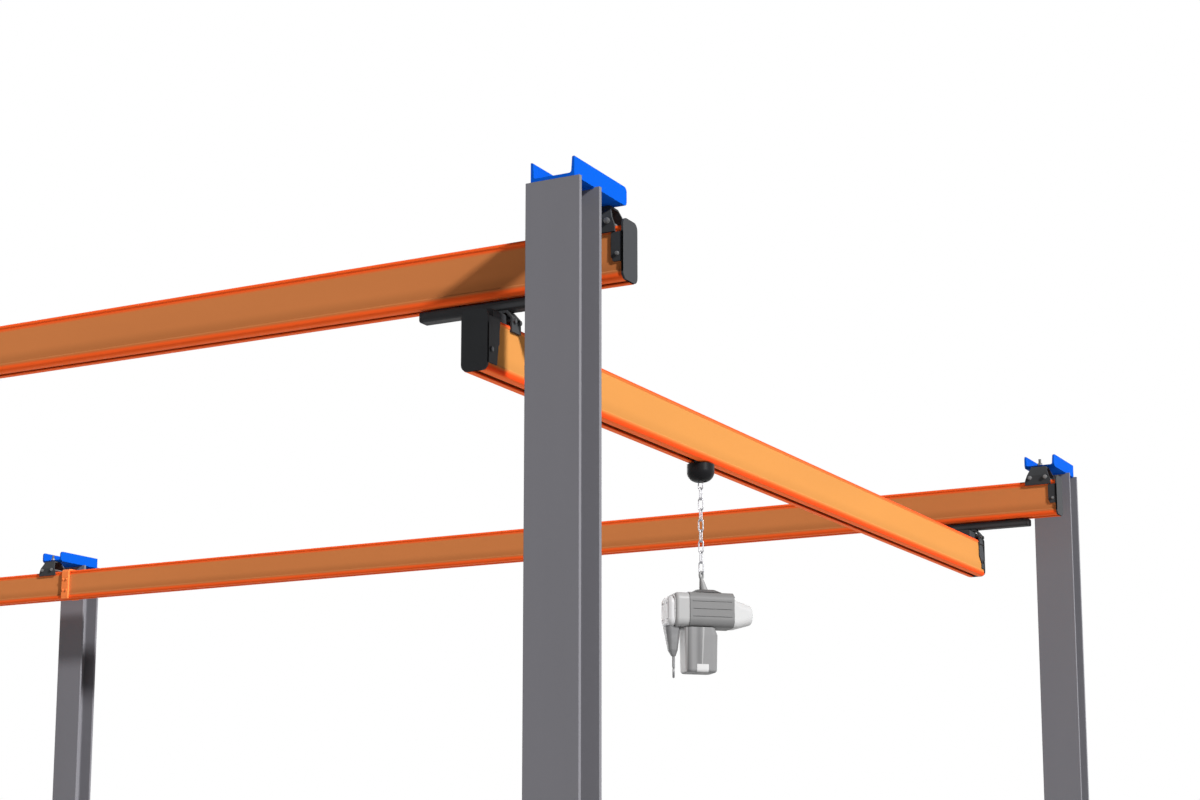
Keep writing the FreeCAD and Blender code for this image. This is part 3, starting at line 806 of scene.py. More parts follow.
@dataclass(frozen=True)
class ShellFinish(Finish):
    """Plastic of a hoist's shell: painted light on its side towards the hook, a painted shadow beside a seam."""

    # Painted light: the shell's end towards the hook is lighter, with its depth and fade
    side_colour: Colour = grey(0.70)
    side_depth: float = 7 * MM
    side_fade: float = 1.5 * MM
    # Painted shadow: a darker strip beside the seam, at an offset from the middle, and its width
    crease_colour: Colour = grey(0.13, 0.132)
    crease_offset: float = -16 * MM
    crease_width: float = 20 * MM
    along: Triple = (1.0, 0.0, 0.0)
    side_place: float = 0.0
    crease_place: float = 0.0

    def fitted(self, axes: "HoistFrame", node: str) -> "ShellFinish":
        """Copy of the finish with its places on a node of the hoist.

        The painted light's place is a depth from the node's end, and the painted shadow's is an offset from its
        middle.

        Args:
            axes: The hoist's axes.
            node: Name of the node.

        Returns:
            The fitted finish.
        """
        low, high = (axes.eye @ axes.x + corner[0] for corner in axes.box(node))
        return replace(self, along=tuple(map(float, axes.x)), side_place=float(low) + self.side_depth,
                       crease_place=float(low + high) / 2 + self.crease_offset)

    def base(self, graph: Graph) -> Socket:
        """Colour from the distance along the shell: painted light before its place, painted shadow about its own.

        Args:
            graph: The material's graph.

        Returns:
            The colour.
        """
        way = graph.combine("DOT_PRODUCT", graph.object_coords(), self.along).outputs["Value"]
        # Painted light on the end towards the hook
        side = graph.ramp(way, self.side_place + self.side_fade, self.side_place - self.side_fade)
        # Painted shadow beside the seam
        off = graph.math("ABSOLUTE", graph.math("SUBTRACT", way, self.crease_place))
        painted_shadow_share = graph.ramp(off, self.crease_width, 0.0)
        front = graph.mix(painted_shadow_share, (*self.colour, 1.0), (*self.crease_colour, 1.0))
        return graph.mix(side, front, (*self.side_colour, 1.0))


COLUMN_GREY = Finish(
    "column_grey_paint", "column_grey", (0.178, 0.175, 0.192), 0.5, specular=0.12, grain_scale=260.0,
    mottle=0.05, mottle_scale=1.3, mottle_stretch=(4.0, 4.0, 0.5), edge_radius=3 * MM, wear=0.1,
    wear_colour=grey(0.22, 0.23), dust=0.2)
BRACKET_BLUE = Finish(
    "bracket_blue_paint", "bracket_blue", (0.003, 0.092, 0.56), 0.6, specular=0.01, edge_radius=2.5 * MM,
    mottle=0.06, mottle_scale=3.0, wear=0.3, wear_colour=(0.07, 0.19, 0.50), dust=0.15)
TRACK_ORANGE = BandedFinish(
    "track_orange_paint", "track_orange", (0.62, 0.207, 0.064), 0.5, specular=0.02, mottle=0.07,
    mottle_scale=2.2, mottle_stretch=(0.35, 2.0, 2.0), wear=0.25, wear_colour=(0.66, 0.24, 0.09), dust=0.2)
# The girder's bands are painted shading, its underside painted light and its foot a painted shade, as on the
# tracks
GIRDER_ORANGE = replace(
    TRACK_ORANGE, name="girder_orange_paint", colour=(0.56, 0.238, 0.061), band_colour=(0.92, 0.072, 0.011),
    sole_colour=(0.95, 0.155, 0.030), head=14 * MM, fade=10 * MM, dull=0.93, mottle_stretch=(2.0, 0.35, 2.0))
SPLICE_ORANGE = Finish(
    "splice_orange_paint", "track_orange", (0.93, 0.235, 0.063), 0.5, specular=0.02, mottle=0.05,
    mottle_scale=6.0, wear=0.2, wear_colour=(0.90, 0.28, 0.10), dust=0.2)
CLAMP_BLACK = Finish(
    "clamp_black_paint", "clamp_black", (0.042, 0.044, 0.047), 0.5, specular=0.08, edge_radius=1.5 * MM,
    mottle=0.18, mottle_scale=9.0, wear=0.3, wear_colour=grey(0.12), wear_scale=60.0, dust=0.15)
WHEEL_BLACK = Finish(
    "wheel_black_plastic", "wheel_plastic", grey(0.032, 0.034), 0.55, specular=0.10, mottle=0.12,
    mottle_scale=20.0, edge_radius=1 * MM, wear=0.1, wear_colour=grey(0.06), grain_scale=500.0)
DOME_BLACK = Finish(
    "dome_black_plastic", "dome_black", grey(0.007, 0.008), 0.32, specular=0.12, mottle=0.1,
    mottle_scale=18.0, edge_radius=2 * MM, wear=0.08, wear_colour=grey(0.05), dust=0.05)
CHAIN_ZINC = Finish(
    "chain_zinc_plate", "chain_steel", grey(0.42, 0.44), 0.40, metallic=1.0, mottle=0.12, mottle_scale=60.0,
    edge_radius=0.5 * MM, wear=0.2, wear_colour=grey(0.55, 0.56), dust=0.05, grain_scale=900.0,
    grain_height=0.02 * MM)
BOLT_ZINC = replace(CHAIN_ZINC, name="bolt_zinc_plate", colour=grey(0.50, 0.52), roughness=0.36)
BOLT_GREY = Finish(
    "bolt_dull_zinc", "chain_steel", grey(0.17, 0.172), 0.5, metallic=0.5, mottle=0.2, mottle_scale=50.0,
    edge_radius=0.6 * MM, wear=0.3, wear_colour=grey(0.30), dust=0.1)
BOLT_BLACK = Finish(
    "bolt_black_oxide", "clamp_black", grey(0.05, 0.055), 0.38, metallic=0.6, mottle=0.2, mottle_scale=40.0,
    edge_radius=0.6 * MM, wear=0.5, wear_colour=grey(0.20), dust=0.1)
HOUSING_GREY = Finish(
    "housing_cast_grey", "housing_grey", grey(0.158), 0.5, specular=0.2, grain_scale=420.0,
    grain_height=0.15 * MM, mottle=0.08, mottle_scale=14.0, edge_radius=1.2 * MM, wear=0.3,
    wear_colour=grey(0.30), dust=0.15, dust_colour=(0.32, 0.31, 0.29))
LID_GREY = replace(HOUSING_GREY, name="lid_dark_plastic", colour=grey(0.076, 0.078))
EYE_GREY = replace(HOUSING_GREY, name="eye_cast_grey", colour=grey(0.25))
LIGHT_PLASTIC = dict(
    roughness=0.4, specular=0.2, grain_scale=600.0, mottle=0.03, mottle_scale=10.0, edge_radius=1.2 * MM,
    wear=0.06, wear_colour=grey(0.36), dust=0.1)
COVER_LIGHT = Finish("cover_light_plastic", "cover_light", grey(0.45), **LIGHT_PLASTIC)
CASE_LIGHT = replace(COVER_LIGHT, name="case_light_metal", colour=grey(0.325))
# Seam strip: a real seam whose lighter grey is a painted highlight along it
SEAM_HIGHLIGHT_GREY = replace(COVER_LIGHT, name="seam_painted_highlight_plastic", colour=grey(0.29))
# Gasket: a real part whose pale grey is painted light over the shade in the gap by the gear cover
GASKET_PAINTED_LIGHT = replace(COVER_LIGHT, name="gasket_painted_light_plastic", colour=grey(0.74))
# Gear cover: painted light on its end towards the hook, and no painted shadow, whose colour is its own
GEAR_WHITE = ShellFinish(
    "gear_cover_white", "cover_light", grey(0.48, 0.485), **LIGHT_PLASTIC, side_colour=grey(0.85, 0.86),
    side_depth=6 * MM, side_fade=3 * MM, crease_colour=grey(0.48, 0.485))
# Chain box: painted light on its side towards the hook, painted shadow beside its seam
BOX_GREY = ShellFinish(
    "box_grey_plastic", "box_grey", grey(0.193, 0.195), 0.48, specular=0.2, grain_scale=700.0, mottle=0.06,
    mottle_scale=12.0, edge_radius=1.2 * MM, wear=0.12, wear_colour=grey(0.31), dust=0.15,
    dust_colour=(0.32, 0.31, 0.29))
HOOK_STEEL = Finish(
    "hook_forged_steel", "hook_steel", grey(0.20, 0.204), 0.42, metallic=0.5, grain_scale=350.0,
    grain_height=0.12 * MM, mottle=0.2, mottle_scale=30.0, edge_radius=1 * MM, wear=0.5,
    wear_colour=grey(0.44), dust=0.1)
PLATE_WHITE = Finish(
    "plate_white", "cover_light", grey(0.50), 0.3, specular=0.2, mottle=0.02, mottle_scale=20.0,
    edge_radius=0.3 * MM, wear=0.05, dust=0.02)
FINISHES = {finish.slot: finish for finish in (
    COLUMN_GREY, BRACKET_BLUE, TRACK_ORANGE, CLAMP_BLACK, WHEEL_BLACK, DOME_BLACK, CHAIN_ZINC, HOUSING_GREY,
    COVER_LIGHT, BOX_GREY, HOOK_STEEL)}
OWN_FINISHES = {
    "bridge_girder": GIRDER_ORANGE, "track_splice_front": SPLICE_ORANGE, "track_splice_rear": SPLICE_ORANGE,
    "hoist_lid": LID_GREY, "hoist_gear_case": CASE_LIGHT, "hoist_gear_cover": GEAR_WHITE,
    "hoist_eye": EYE_GREY}

# Sizes of fasteners and welds

M8 = HexFastener(8 * MM, 13 * MM, 5.5 * MM, 16 * MM, 1.6 * MM, 1.25 * MM)
M10 = HexFastener(10 * MM, 17 * MM, 6.5 * MM, 20 * MM, 2 * MM, 1.5 * MM)
M12 = HexFastener(12 * MM, 19 * MM, 7.5 * MM, 24 * MM, 2.5 * MM, 1.75 * MM)
M16 = HexFastener(16 * MM, 24 * MM, 10 * MM, 30 * MM, 3 * MM, 2 * MM)
M20 = HexFastener(20 * MM, 30 * MM, 16 * MM, 37 * MM, 3 * MM, 2.5 * MM)
HOUSING_SCREW = SocketScrew(10 * MM, 6 * MM, 5 * MM)
COVER_SCREW = SocketScrew(9 * MM, 2.2 * MM, 4 * MM)
FILLET_WELD = Weld()
PART_SMOOTH = 35.0
WELD_SMOOTH = 60.0


# Sub-assemblies and stage


def linked(name: str, data: bpy.types.ID) -> bpy.types.Object:
    """Make an object of a mesh, lamp or camera and put it into the scene.

    Args:
        name: Name of the object.
        data: What it shows.

    Returns:
        The new object.
    """
    made = bpy.data.objects.new(name, data)
    bpy.context.scene.collection.objects.link(made)
    return made


class Assembly:
    """Base of the sub-assemblies: makes pieces, dresses them and sets them on a body."""

    body = "frame"

    def add(self, name: str, shape: Shape, finish: Finish, smooth: float = PART_SMOOTH) -> None:
        """Make one piece of the crane, riding on the assembly's body.

        Args:
            name: Name of the piece.
            shape: Its surfaces, in place.
            finish: Its finish.
            smooth: Angle in degrees below which edges are shaded smooth.
        """
        mesh = shape.mesh(name)
        mesh.shade_smooth()
        mesh.set_sharp_from_angle(angle=math.radians(smooth))
        piece = linked(name, mesh)
        finish.dress(piece)
        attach(piece, self.body)
        log.info("%s: %d faces on %s", name, len(mesh.polygons), self.body)

    def build(self) -> None:
        """Make the assembly's pieces."""
        raise NotImplementedError


def middle(node: str) -> Array:
    """Centre of a node's box."""
    low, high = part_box(node)
    return np.array((low + high) / 2)


@dataclass
class ColumnFeet(Assembly):
    """Anchors and weld seams of a row's column feet."""

    row: Row
    anchor_spacing: float = 260 * MM
    anchor_stick: float = 34 * MM
    plate_thickness: float = 20 * MM
    gusset_thickness: float = 12 * MM
    gusset_height: float = 160 * MM
    plate_half: float = 170 * MM
    toe_margin: float = 6 * MM
    web: float = 9 * MM
    flange: float = 16 * MM
    root: float = 15 * MM

    def build(self) -> None:
        """Stand anchors in the plates' holes and weld columns and gussets to the plates."""
        label = self.row.label
        columns = [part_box(f"column_{label}_{station.value}") for station in Station]
        centres = np.array([((low.x + high.x) / 2, (low.y + high.y) / 2, self.plate_thickness)
                            for low, high in columns])
        half = self.anchor_spacing / 2
        offsets = box_points((-half, half), (-half, half), (0,))
        origins = (centres[:, None] + offsets[None]).reshape(-1, 3)
        anchors = M20.stud(self.anchor_stick).placed(places(origins, Z_AXIS))
        self.add(f"foot_anchors_{label}", anchors, BOLT_ZINC)
        low, high = columns[0]
        foot = self.weld_set((high.x - low.x) / 2, (high.y - low.y) / 2)
        welds = foot.placed(places(centres, Z_AXIS, Y_AXIS))
        self.add(f"foot_welds_{label}", welds, COLUMN_GREY, WELD_SMOOTH)

    def weld_set(self, half_width: float, half_depth: float) -> Shape:
        """Beads round one column's section and along its two gussets.

        Args:
            half_width: Half the flanges' width.
            half_depth: Half the section's depth.

        Returns:
            The beads about the column's centre, on the plate's top.
        """
        beads = []
        bead, leg = FILLET_WELD.bead, FILLET_WELD.size
        inner = half_depth - self.flange
        reach = self.plate_half - half_depth - self.toe_margin
        for side in (-1, 1):
            out = side * Y_AXIS
            for hand in (-1, 1):
                across = hand * X_AXIS
                edge = across * half_width
                face = across * self.gusset_thickness / 2 + out * half_depth
                root = across * (self.web / 2 + self.root) + out * inner
                beads += [
                    bead(face + across * leg, edge + out * half_depth, Z_AXIS, out),
                    bead(edge + out * inner, root, Z_AXIS, -out),
                    bead(face, face + out * reach, Z_AXIS, across),
                    bead(face + Z_AXIS * leg, face + Z_AXIS * self.gusset_height, across, out),
                ]
        for hand in (-1, 1):
            face = hand * X_AXIS * self.web / 2
            along = Y_AXIS * (inner - self.root)
            beads.append(bead(face - along, face + along, Z_AXIS, hand * X_AXIS))
        return joined(beads)


@dataclass
class BracketSeats(Assembly):
    """Weld seams under a row's brackets, and the stud that holds a hanger to each."""

    row: Row
    bracket_web: float = 12 * MM
    flange: float = 16 * MM
    stud_stick: float = 36 * MM
    crown: float = 10 * MM

    def build(self) -> None:
        """Weld each bracket to its column's flanges and bolt a hanger below it."""
        label = self.row.label
        track_y = middle(f"track_{label}_left")[1]
        beads, tops = [], []
        for station in Station:
            low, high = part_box(f"column_{label}_{station.value}")
            bracket_low, bracket_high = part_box(f"bracket_{label}_{station.value}")
            edges = ((low.y + self.flange, Y_AXIS), (high.y - self.flange, -Y_AXIS))
            inner_face = (high.y, Y_AXIS) if self.row is Row.FRONT else (low.y, -Y_AXIS)
            for y, out in (*edges, inner_face):
                start = np.array([bracket_low.x, y, high.z])
                end = np.array([bracket_high.x, y, high.z])
                beads.append(FILLET_WELD.bead(start, end, -Z_AXIS, out))
            tops.append(((bracket_low.x + bracket_high.x) / 2, track_y, bracket_low.z))
        self.add(f"bracket_welds_{label}", joined(beads), BRACKET_BLUE, WELD_SMOOTH)
        above = np.array(tops) + Z_AXIS * self.bracket_web
        below = np.array(tops) - Z_AXIS * self.crown
        nuts = M16.stud(self.stud_stick).placed(places(above, Z_AXIS))
        heads = M16.seat().placed(places(below, -Z_AXIS))
        self.add(f"hanger_studs_{label}", joined([nuts, heads]), BOLT_GREY)


@dataclass
class TrackHangers(Assembly):
    """Cross bolts through a row's hangers."""

    row: Row
    spread: float = 44 * MM
    above_track: float = 17 * MM

    def build(self) -> None:
        """Bolt each hanger's cheeks together over the track."""
        label = self.row.label
        low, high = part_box(f"track_hangers_{label}")
        track_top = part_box(f"track_{label}_left")[1].z
        stations = [middle(f"column_{label}_{station.value}")[0] for station in Station]
        origins = np.array([(x + spread, low.y, track_top + self.above_track)
                            for x in stations for spread in (-self.spread, self.spread)])
        bolts = M12.through(high.y - low.y).placed(places(origins, -Y_AXIS))
        self.add(f"hanger_bolts_{label}", bolts, BOLT_GREY)


@dataclass(frozen=True)
class StopPlate:
    """Face of an end stop, from the profile's foot to a little above its head."""

    width: float = 110 * MM
    crown: float = 25 * MM
    radius: float = 26 * MM
    inner: float = 0.5 * MM
    outer: float = 8.6 * MM

    def over(self, foot: Array, height: float, out: Array) -> Shape:
        """Plate over the end of a profile.

        Args:
            foot: Middle of the foot of the profile's end.
            height: Height of the profile.
            out: Direction out of the end.

        Returns:
            The plate, in place.
        """
        tall = height + self.crown
        plate = rounded_bar(self.width, tall, self.radius, self.outer - self.inner)
        return plate.placed(places(foot + Z_AXIS * tall / 2 + out * self.inner, out))


STOP_PLATE = StopPlate()


@dataclass
class TrackEnds(Assembly):
    """Faces of a row's end stops, skirts of its splice, and the bolts of both."""

    row: Row
    ear_inset: float = 17 * MM
    ear_drop: float = 106 * MM
    ear_face: float = 53 * MM
    splice_spread: float = 17 * MM
    splice_drops: tuple[float, float] = (62 * MM, 140 * MM)
    skirt_thickness: float = 12 * MM
    skirt_radius: float = 3 * MM

    def build(self) -> None:
        """Bolt the stops' ears through the profile and cover its ends, and fit the splice."""
        label = self.row.label
        low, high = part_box(f"track_{label}_left")[0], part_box(f"track_{label}_right")[1]
        track_y, top = (low.y + high.y) / 2, high.z
        ends = box_points((low.x + self.ear_inset, high.x - self.ear_inset), (track_y - self.ear_face,),
                          (top - self.ear_drop,))
        stops = M8.through(2 * self.ear_face).placed(places(ends, -Y_AXIS))
        self.add(f"stop_bolts_{label}", stops, BOLT_GREY)
        self.splice(low.z, top)
        plates = [STOP_PLATE.over(np.array([x, track_y, low.z]), top - low.z, out)
                  for x, out in ((low.x, -X_AXIS), (high.x, X_AXIS))]
        self.add(f"stop_plates_{label}", joined(plates), CLAMP_BLACK)

    def splice(self, bottom: float, top: float) -> None:
        """Bolt the splice's flanks to the tracks, and reach down from them to the tracks' foot.

        Args:
            bottom: Height of the tracks' foot.
            top: Height of the tracks' head.
        """
        label = self.row.label
        low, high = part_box(f"track_splice_{label}")
        x = (low.x + high.x) / 2
        heads = []
        for face, out in ((low.y, -Y_AXIS), (high.y, Y_AXIS)):
            spots = box_points((x - self.splice_spread, x + self.splice_spread), (face,),
                               [top - drop for drop in self.splice_drops])
            heads.append(M8.seat().placed(places(spots, out)))
        self.add(f"splice_bolts_{label}", joined(heads), SPLICE_ORANGE)
        height, inset = low.z - bottom, self.skirt_thickness / 2
        skirt = rounded_bar(self.skirt_thickness, height, self.skirt_radius, high.x - low.x)
        starts = box_points((low.x,), (low.y + inset, high.y - inset), (bottom + height / 2,))
        self.add(f"splice_skirts_{label}", skirt.placed(places(starts, X_AXIS)), SPLICE_ORANGE)


@dataclass
class BridgeTrucks(Assembly):
    """Blocks inside the bridge's hangers, faces and cheeks of its end stops, and the bolts of both."""

    block_width: float = 56 * MM
    block_height: float = 46 * MM
    block_radius: float = 10 * MM
    block_length: float = 160 * MM
    block_start: float = -118 * MM
    hanger_spread: float = 18 * MM
    hanger_rise: float = 17 * MM
    bar_spread: float = 17 * MM
    crown: float = 10 * MM
    ear_inset: float = 18 * MM
    ear_drop: float = 122 * MM
    ear_face: float = 53 * MM
    cheek_face: float = 50.5 * MM
    cheek_thickness: float = 5 * MM
    cheek_foot: float = 28 * MM
    cheek_lengths: tuple[float, float] = (58 * MM, 80 * MM)

    body = "bridge"

    def build(self) -> None:
        """Bolt hangers to girder and bars, and stops to the girder, and fit blocks, plates and cheeks."""
        girder_low, girder_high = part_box("bridge_girder")
        height = girder_high.z - girder_low.z
        bolts, ears, blocks, plates = [], [], [], []
        block = rounded_bar(self.block_width, self.block_height, self.block_radius, self.block_length)
        for row in Row:
            low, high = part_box(f"bridge_hanger_{row.label}")
            x, y = (low.x + high.x) / 2, (low.y + high.y) / 2
            level = girder_high.z + self.hanger_rise
            spots = box_points((high.x,), (y - self.hanger_spread, y + self.hanger_spread), (level,))
            bolts.append(M10.through(high.x - low.x).placed(places(spots, X_AXIS)))
            crown = box_points((x,), (y - self.bar_spread, y + self.bar_spread), (high.z - self.crown,))
            bolts.append(M10.seat().placed(places(crown, -Z_AXIS)))
            end = girder_low.y if row is Row.FRONT else girder_high.y
            ear = (x + self.ear_face, end - row.value * self.ear_inset, girder_high.z - self.ear_drop)
            ears.append(M10.through(2 * self.ear_face).placed(places(np.array([ear]), X_AXIS)))
            seat = np.array([x, y + self.block_start, girder_high.z + self.block_height / 2])
            blocks.append(block.placed(places(seat, Y_AXIS)))
            plates.append(STOP_PLATE.over(np.array([x, end, girder_low.z]), height, row.value * Y_AXIS))
        self.add("bridge_hanger_bolts", joined(bolts), BOLT_BLACK)
        self.add("bridge_stop_bolts", joined(ears), BOLT_BLACK)
        self.add("bridge_hanger_blocks", joined(blocks), CLAMP_BLACK)
        self.add("bridge_stop_plates", joined(plates), CLAMP_BLACK)
        self.add("bridge_stop_cheeks", joined(self.cheeks(girder_low, girder_high)), CLAMP_BLACK)

    def cheeks(self, low: Vector, high: Vector) -> list[Shape]:
        """Plates along both sides of the girder's front end, longer at the head than at the foot.

        Each is a four-cornered outline along and up the girder, carried across by the plate's thickness.

        Args:
            low: Lowest corner of the girder.
            high: Highest corner of the girder.

        Returns:
            The plate on each side.
        """
        foot, head = self.cheek_lengths
        along = low.y + np.array([0.0, foot, head, 0.0])
        up = np.array([low.z + self.cheek_foot] * 2 + [high.z] * 2)
        x = (low.x + high.x) / 2
        faces = [x + np.array([start, start + self.cheek_thickness])[:, None] + 0 * along
                 for start in (-self.cheek_face - self.cheek_thickness, self.cheek_face)]
        return [loft(np.stack([face, along + 0 * face, up + 0 * face], -1)) for face in faces]


class HoistFrame:
    """The hoist's own axes: local X along its length, from its hook's side to its motor."""

    def __init__(self) -> None:
        """Take the axes from the hoist's and the hook's joints."""
        joints = {joint["name"]: np.array(joint["pos_m"]) for joint in frame["joints"] if "pos_m" in joint}
        self.eye = joints["hoist_swing"]
        self.hook = joints["hook_swivel"]
        x = (self.eye - self.hook) * np.array([1.0, 1.0, 0.0])
        self.x = x / np.linalg.norm(x)
        self.y = np.cross(Z_AXIS, self.x)
        self.turn = np.stack([self.x, self.y, Z_AXIS], 1)

    def box(self, node: str) -> tuple[Array, Array]:
        """Lowest and highest local corner of a node.

        Args:
            node: Name of the node.

        Returns:
            The two corners, from the eye, in the hoist's axes.
        """
        mesh = frame["nodes"][node].data
        points = np.empty(3 * len(mesh.vertices), np.float32)
        mesh.vertices.foreach_get("co", points)
        local = (points.reshape(-1, 3) - self.eye) @ self.turn
        return local.min(0), local.max(0)

    def whole(self, shape: Shape) -> Shape:
        """A shape in local coordinates, put in place."""
        return Shape(np.asarray(shape.points, float) @ self.turn.T + self.eye, shape.faces)


@dataclass
class HoistTrim(Assembly):
    """Screws and gasket of the hoist's covers, and the seam and the bare plate on its chain box."""

    screw_inset: float = 19 * MM
    cover_inset: float = 30 * MM
    gasket_inset: float = 8 * MM
    gasket_radius: float = 30 * MM
    gasket_thickness: float = 1.5 * MM
    neck: float = 31 * MM
    taper: float = 3 * MM
    floor_radius: float = 13 * MM
    strip_thickness: float = 1.6 * MM
    seam_place: float = -3 * MM
    seam_lean: float = 6 * MM
    seam_top: float = 10 * MM
    seam_foot: float = 6 * MM
    plate_width: float = 52 * MM
    plate_start: float = 156 * MM
    plate_turns: tuple[float, float] = (8.0, 65.0)
    seam_points: int = 16
    plate_points: int = 6
    turn_points: int = 8

    body = "hoist"

    def build(self) -> None:
        """Fit the screws, the gear cover's gasket, and the chain box's seam and plate."""
        axes = HoistFrame()
        low, high = axes.box("hoist_housing")
        right = self.corners(high[0], low, high, self.screw_inset)
        low, high = axes.box("hoist_gear_cover")
        left = self.corners(low[0], low, high, self.cover_inset)
        screws = HOUSING_SCREW.shape().placed(places(right, X_AXIS))
        self.add("housing_screws", axes.whole(screws), BOLT_BLACK)
        screws = COVER_SCREW.shape().placed(places(left, -X_AXIS))
        self.add("gear_cover_screws", axes.whole(screws), GEAR_WHITE)
        # Gasket between gear case and cover, pale as painted light over the gap's shade
        low, high = axes.box("hoist_gear_case")
        size = high - low - 2 * self.gasket_inset
        gasket = rounded_bar(size[1], size[2], self.gasket_radius, self.gasket_thickness)
        face = (low + high) / 2 * (Y_AXIS + Z_AXIS) + X_AXIS * low[0]
        self.add("gear_gasket", axes.whole(gasket.placed(places(face, -X_AXIS))), GASKET_PAINTED_LIGHT)
        self.chain_box(axes)

    def corners(self, x: float, low: Array, high: Array, inset: float) -> Array:
        """Four points on a face across the hoist, inset from its corners."""
        return box_points((x,), (low[1] + inset, high[1] - inset), (low[2] + inset, high[2] - inset))

    def chain_box(self, axes: HoistFrame) -> None:
        """Seam down the chain box's front in a painted-highlight grey, and a bare plate that wraps round its foot.

        Args:
            axes: The hoist's axes.
        """
        low, high = axes.box("hoist_chain_box")
        middle_x = (low[0] + high[0]) / 2
        plate_end = high[2] - low[2] - self.floor_radius
        seam = self.front_path(low, high, np.linspace(0, self.plate_start, self.seam_points), np.zeros(0))
        plate = self.front_path(low, high, np.linspace(self.plate_start, plate_end, self.plate_points),
                                np.radians(np.linspace(*self.plate_turns, self.turn_points)))
        seam[:, 0] += np.linspace(self.seam_lean, 0, len(seam))
        narrowing = np.linspace(self.seam_top, self.seam_foot, len(seam))
        even = np.full(len(plate), self.plate_width)
        for name, path, x, width, finish in (
                ("chain_box_seam", seam, middle_x + self.seam_place, narrowing, SEAM_HIGHLIGHT_GREY),
                ("chain_box_plate", plate, middle_x, even, PLATE_WHITE)):
            strip = swept_bar(path + X_AXIS * x, width, self.strip_thickness, X_AXIS)
            self.add(name, axes.whole(strip), finish)

    def front_path(self, low: Array, high: Array, depths: Array, turns: Array) -> Array:
        """Path down the middle of the chain box's front and round its foot.

        The front leans in by the taper between the neck and the floor, and then turns under as a quarter
        circle.

        Args:
            low: Lowest corner of the chain box.
            high: Highest corner of the chain box.
            depths: Depths below the box's top along the front.
            turns: Angles round the foot, in radians.

        Returns:
            Points of shape (depths + turns, 3) with x = 0.
        """
        height = high[2] - low[2]
        lean = self.taper * np.maximum(depths - self.neck, 0) / (height - self.neck)
        front = np.stack([0 * depths, low[1] + lean, high[2] - depths], -1)
        centre = np.array([0.0, low[1] + self.taper + self.floor_radius, low[2] + self.floor_radius])
        outward = np.stack([0 * turns, -np.cos(turns), -np.sin(turns)], -1)
        return np.concatenate([front, centre + self.floor_radius * outward])


@dataclass
class HookLatch(Assembly):
    """Spring latch across the load hook's mouth. Its ends and its sag are shares of the bowl's radius."""

    turn: float = -18.0
    bowl: float = 19 * MM
    mouth: float = 40.0
    width: float = 7 * MM
    thickness: float = 1.5 * MM
    neck_forward: float = 0.25
    neck_up: float = 0.85
    tip: float = 0.72
    sag: float = 0.08
    sag_forward: float = 0.5
    narrowing: float = 0.35
    points: int = 12

    body = "hook"

    def build(self) -> None:
        """Bend a strip from the hook's neck to the inside of its tip.

        The way is a straight line from neck to tip, pushed towards the bowl by a sine of the share along it.
        """
        axes = HoistFrame()
        turn, mouth = math.radians(self.turn), math.radians(self.mouth)
        forward = axes.y * math.cos(turn) - axes.x * math.sin(turn)
        across = np.cross(forward, Z_AXIS)
        share = np.linspace(0, 1, self.points)[:, None]
        start = forward * self.neck_forward * self.bowl + Z_AXIS * self.neck_up * self.bowl
        end = self.tip * self.bowl * (forward * math.cos(mouth) + Z_AXIS * math.sin(mouth))
        outward = forward * self.sag_forward + Z_AXIS
        sag = self.sag * self.bowl * np.sin(math.pi * share) * outward
        path = axes.hook + start + share * (end - start) - sag
        width = self.width * (1 - self.narrowing * share[:, 0])
        self.add("hook_latch", swept_bar(path, width, self.thickness, across), BOLT_ZINC)


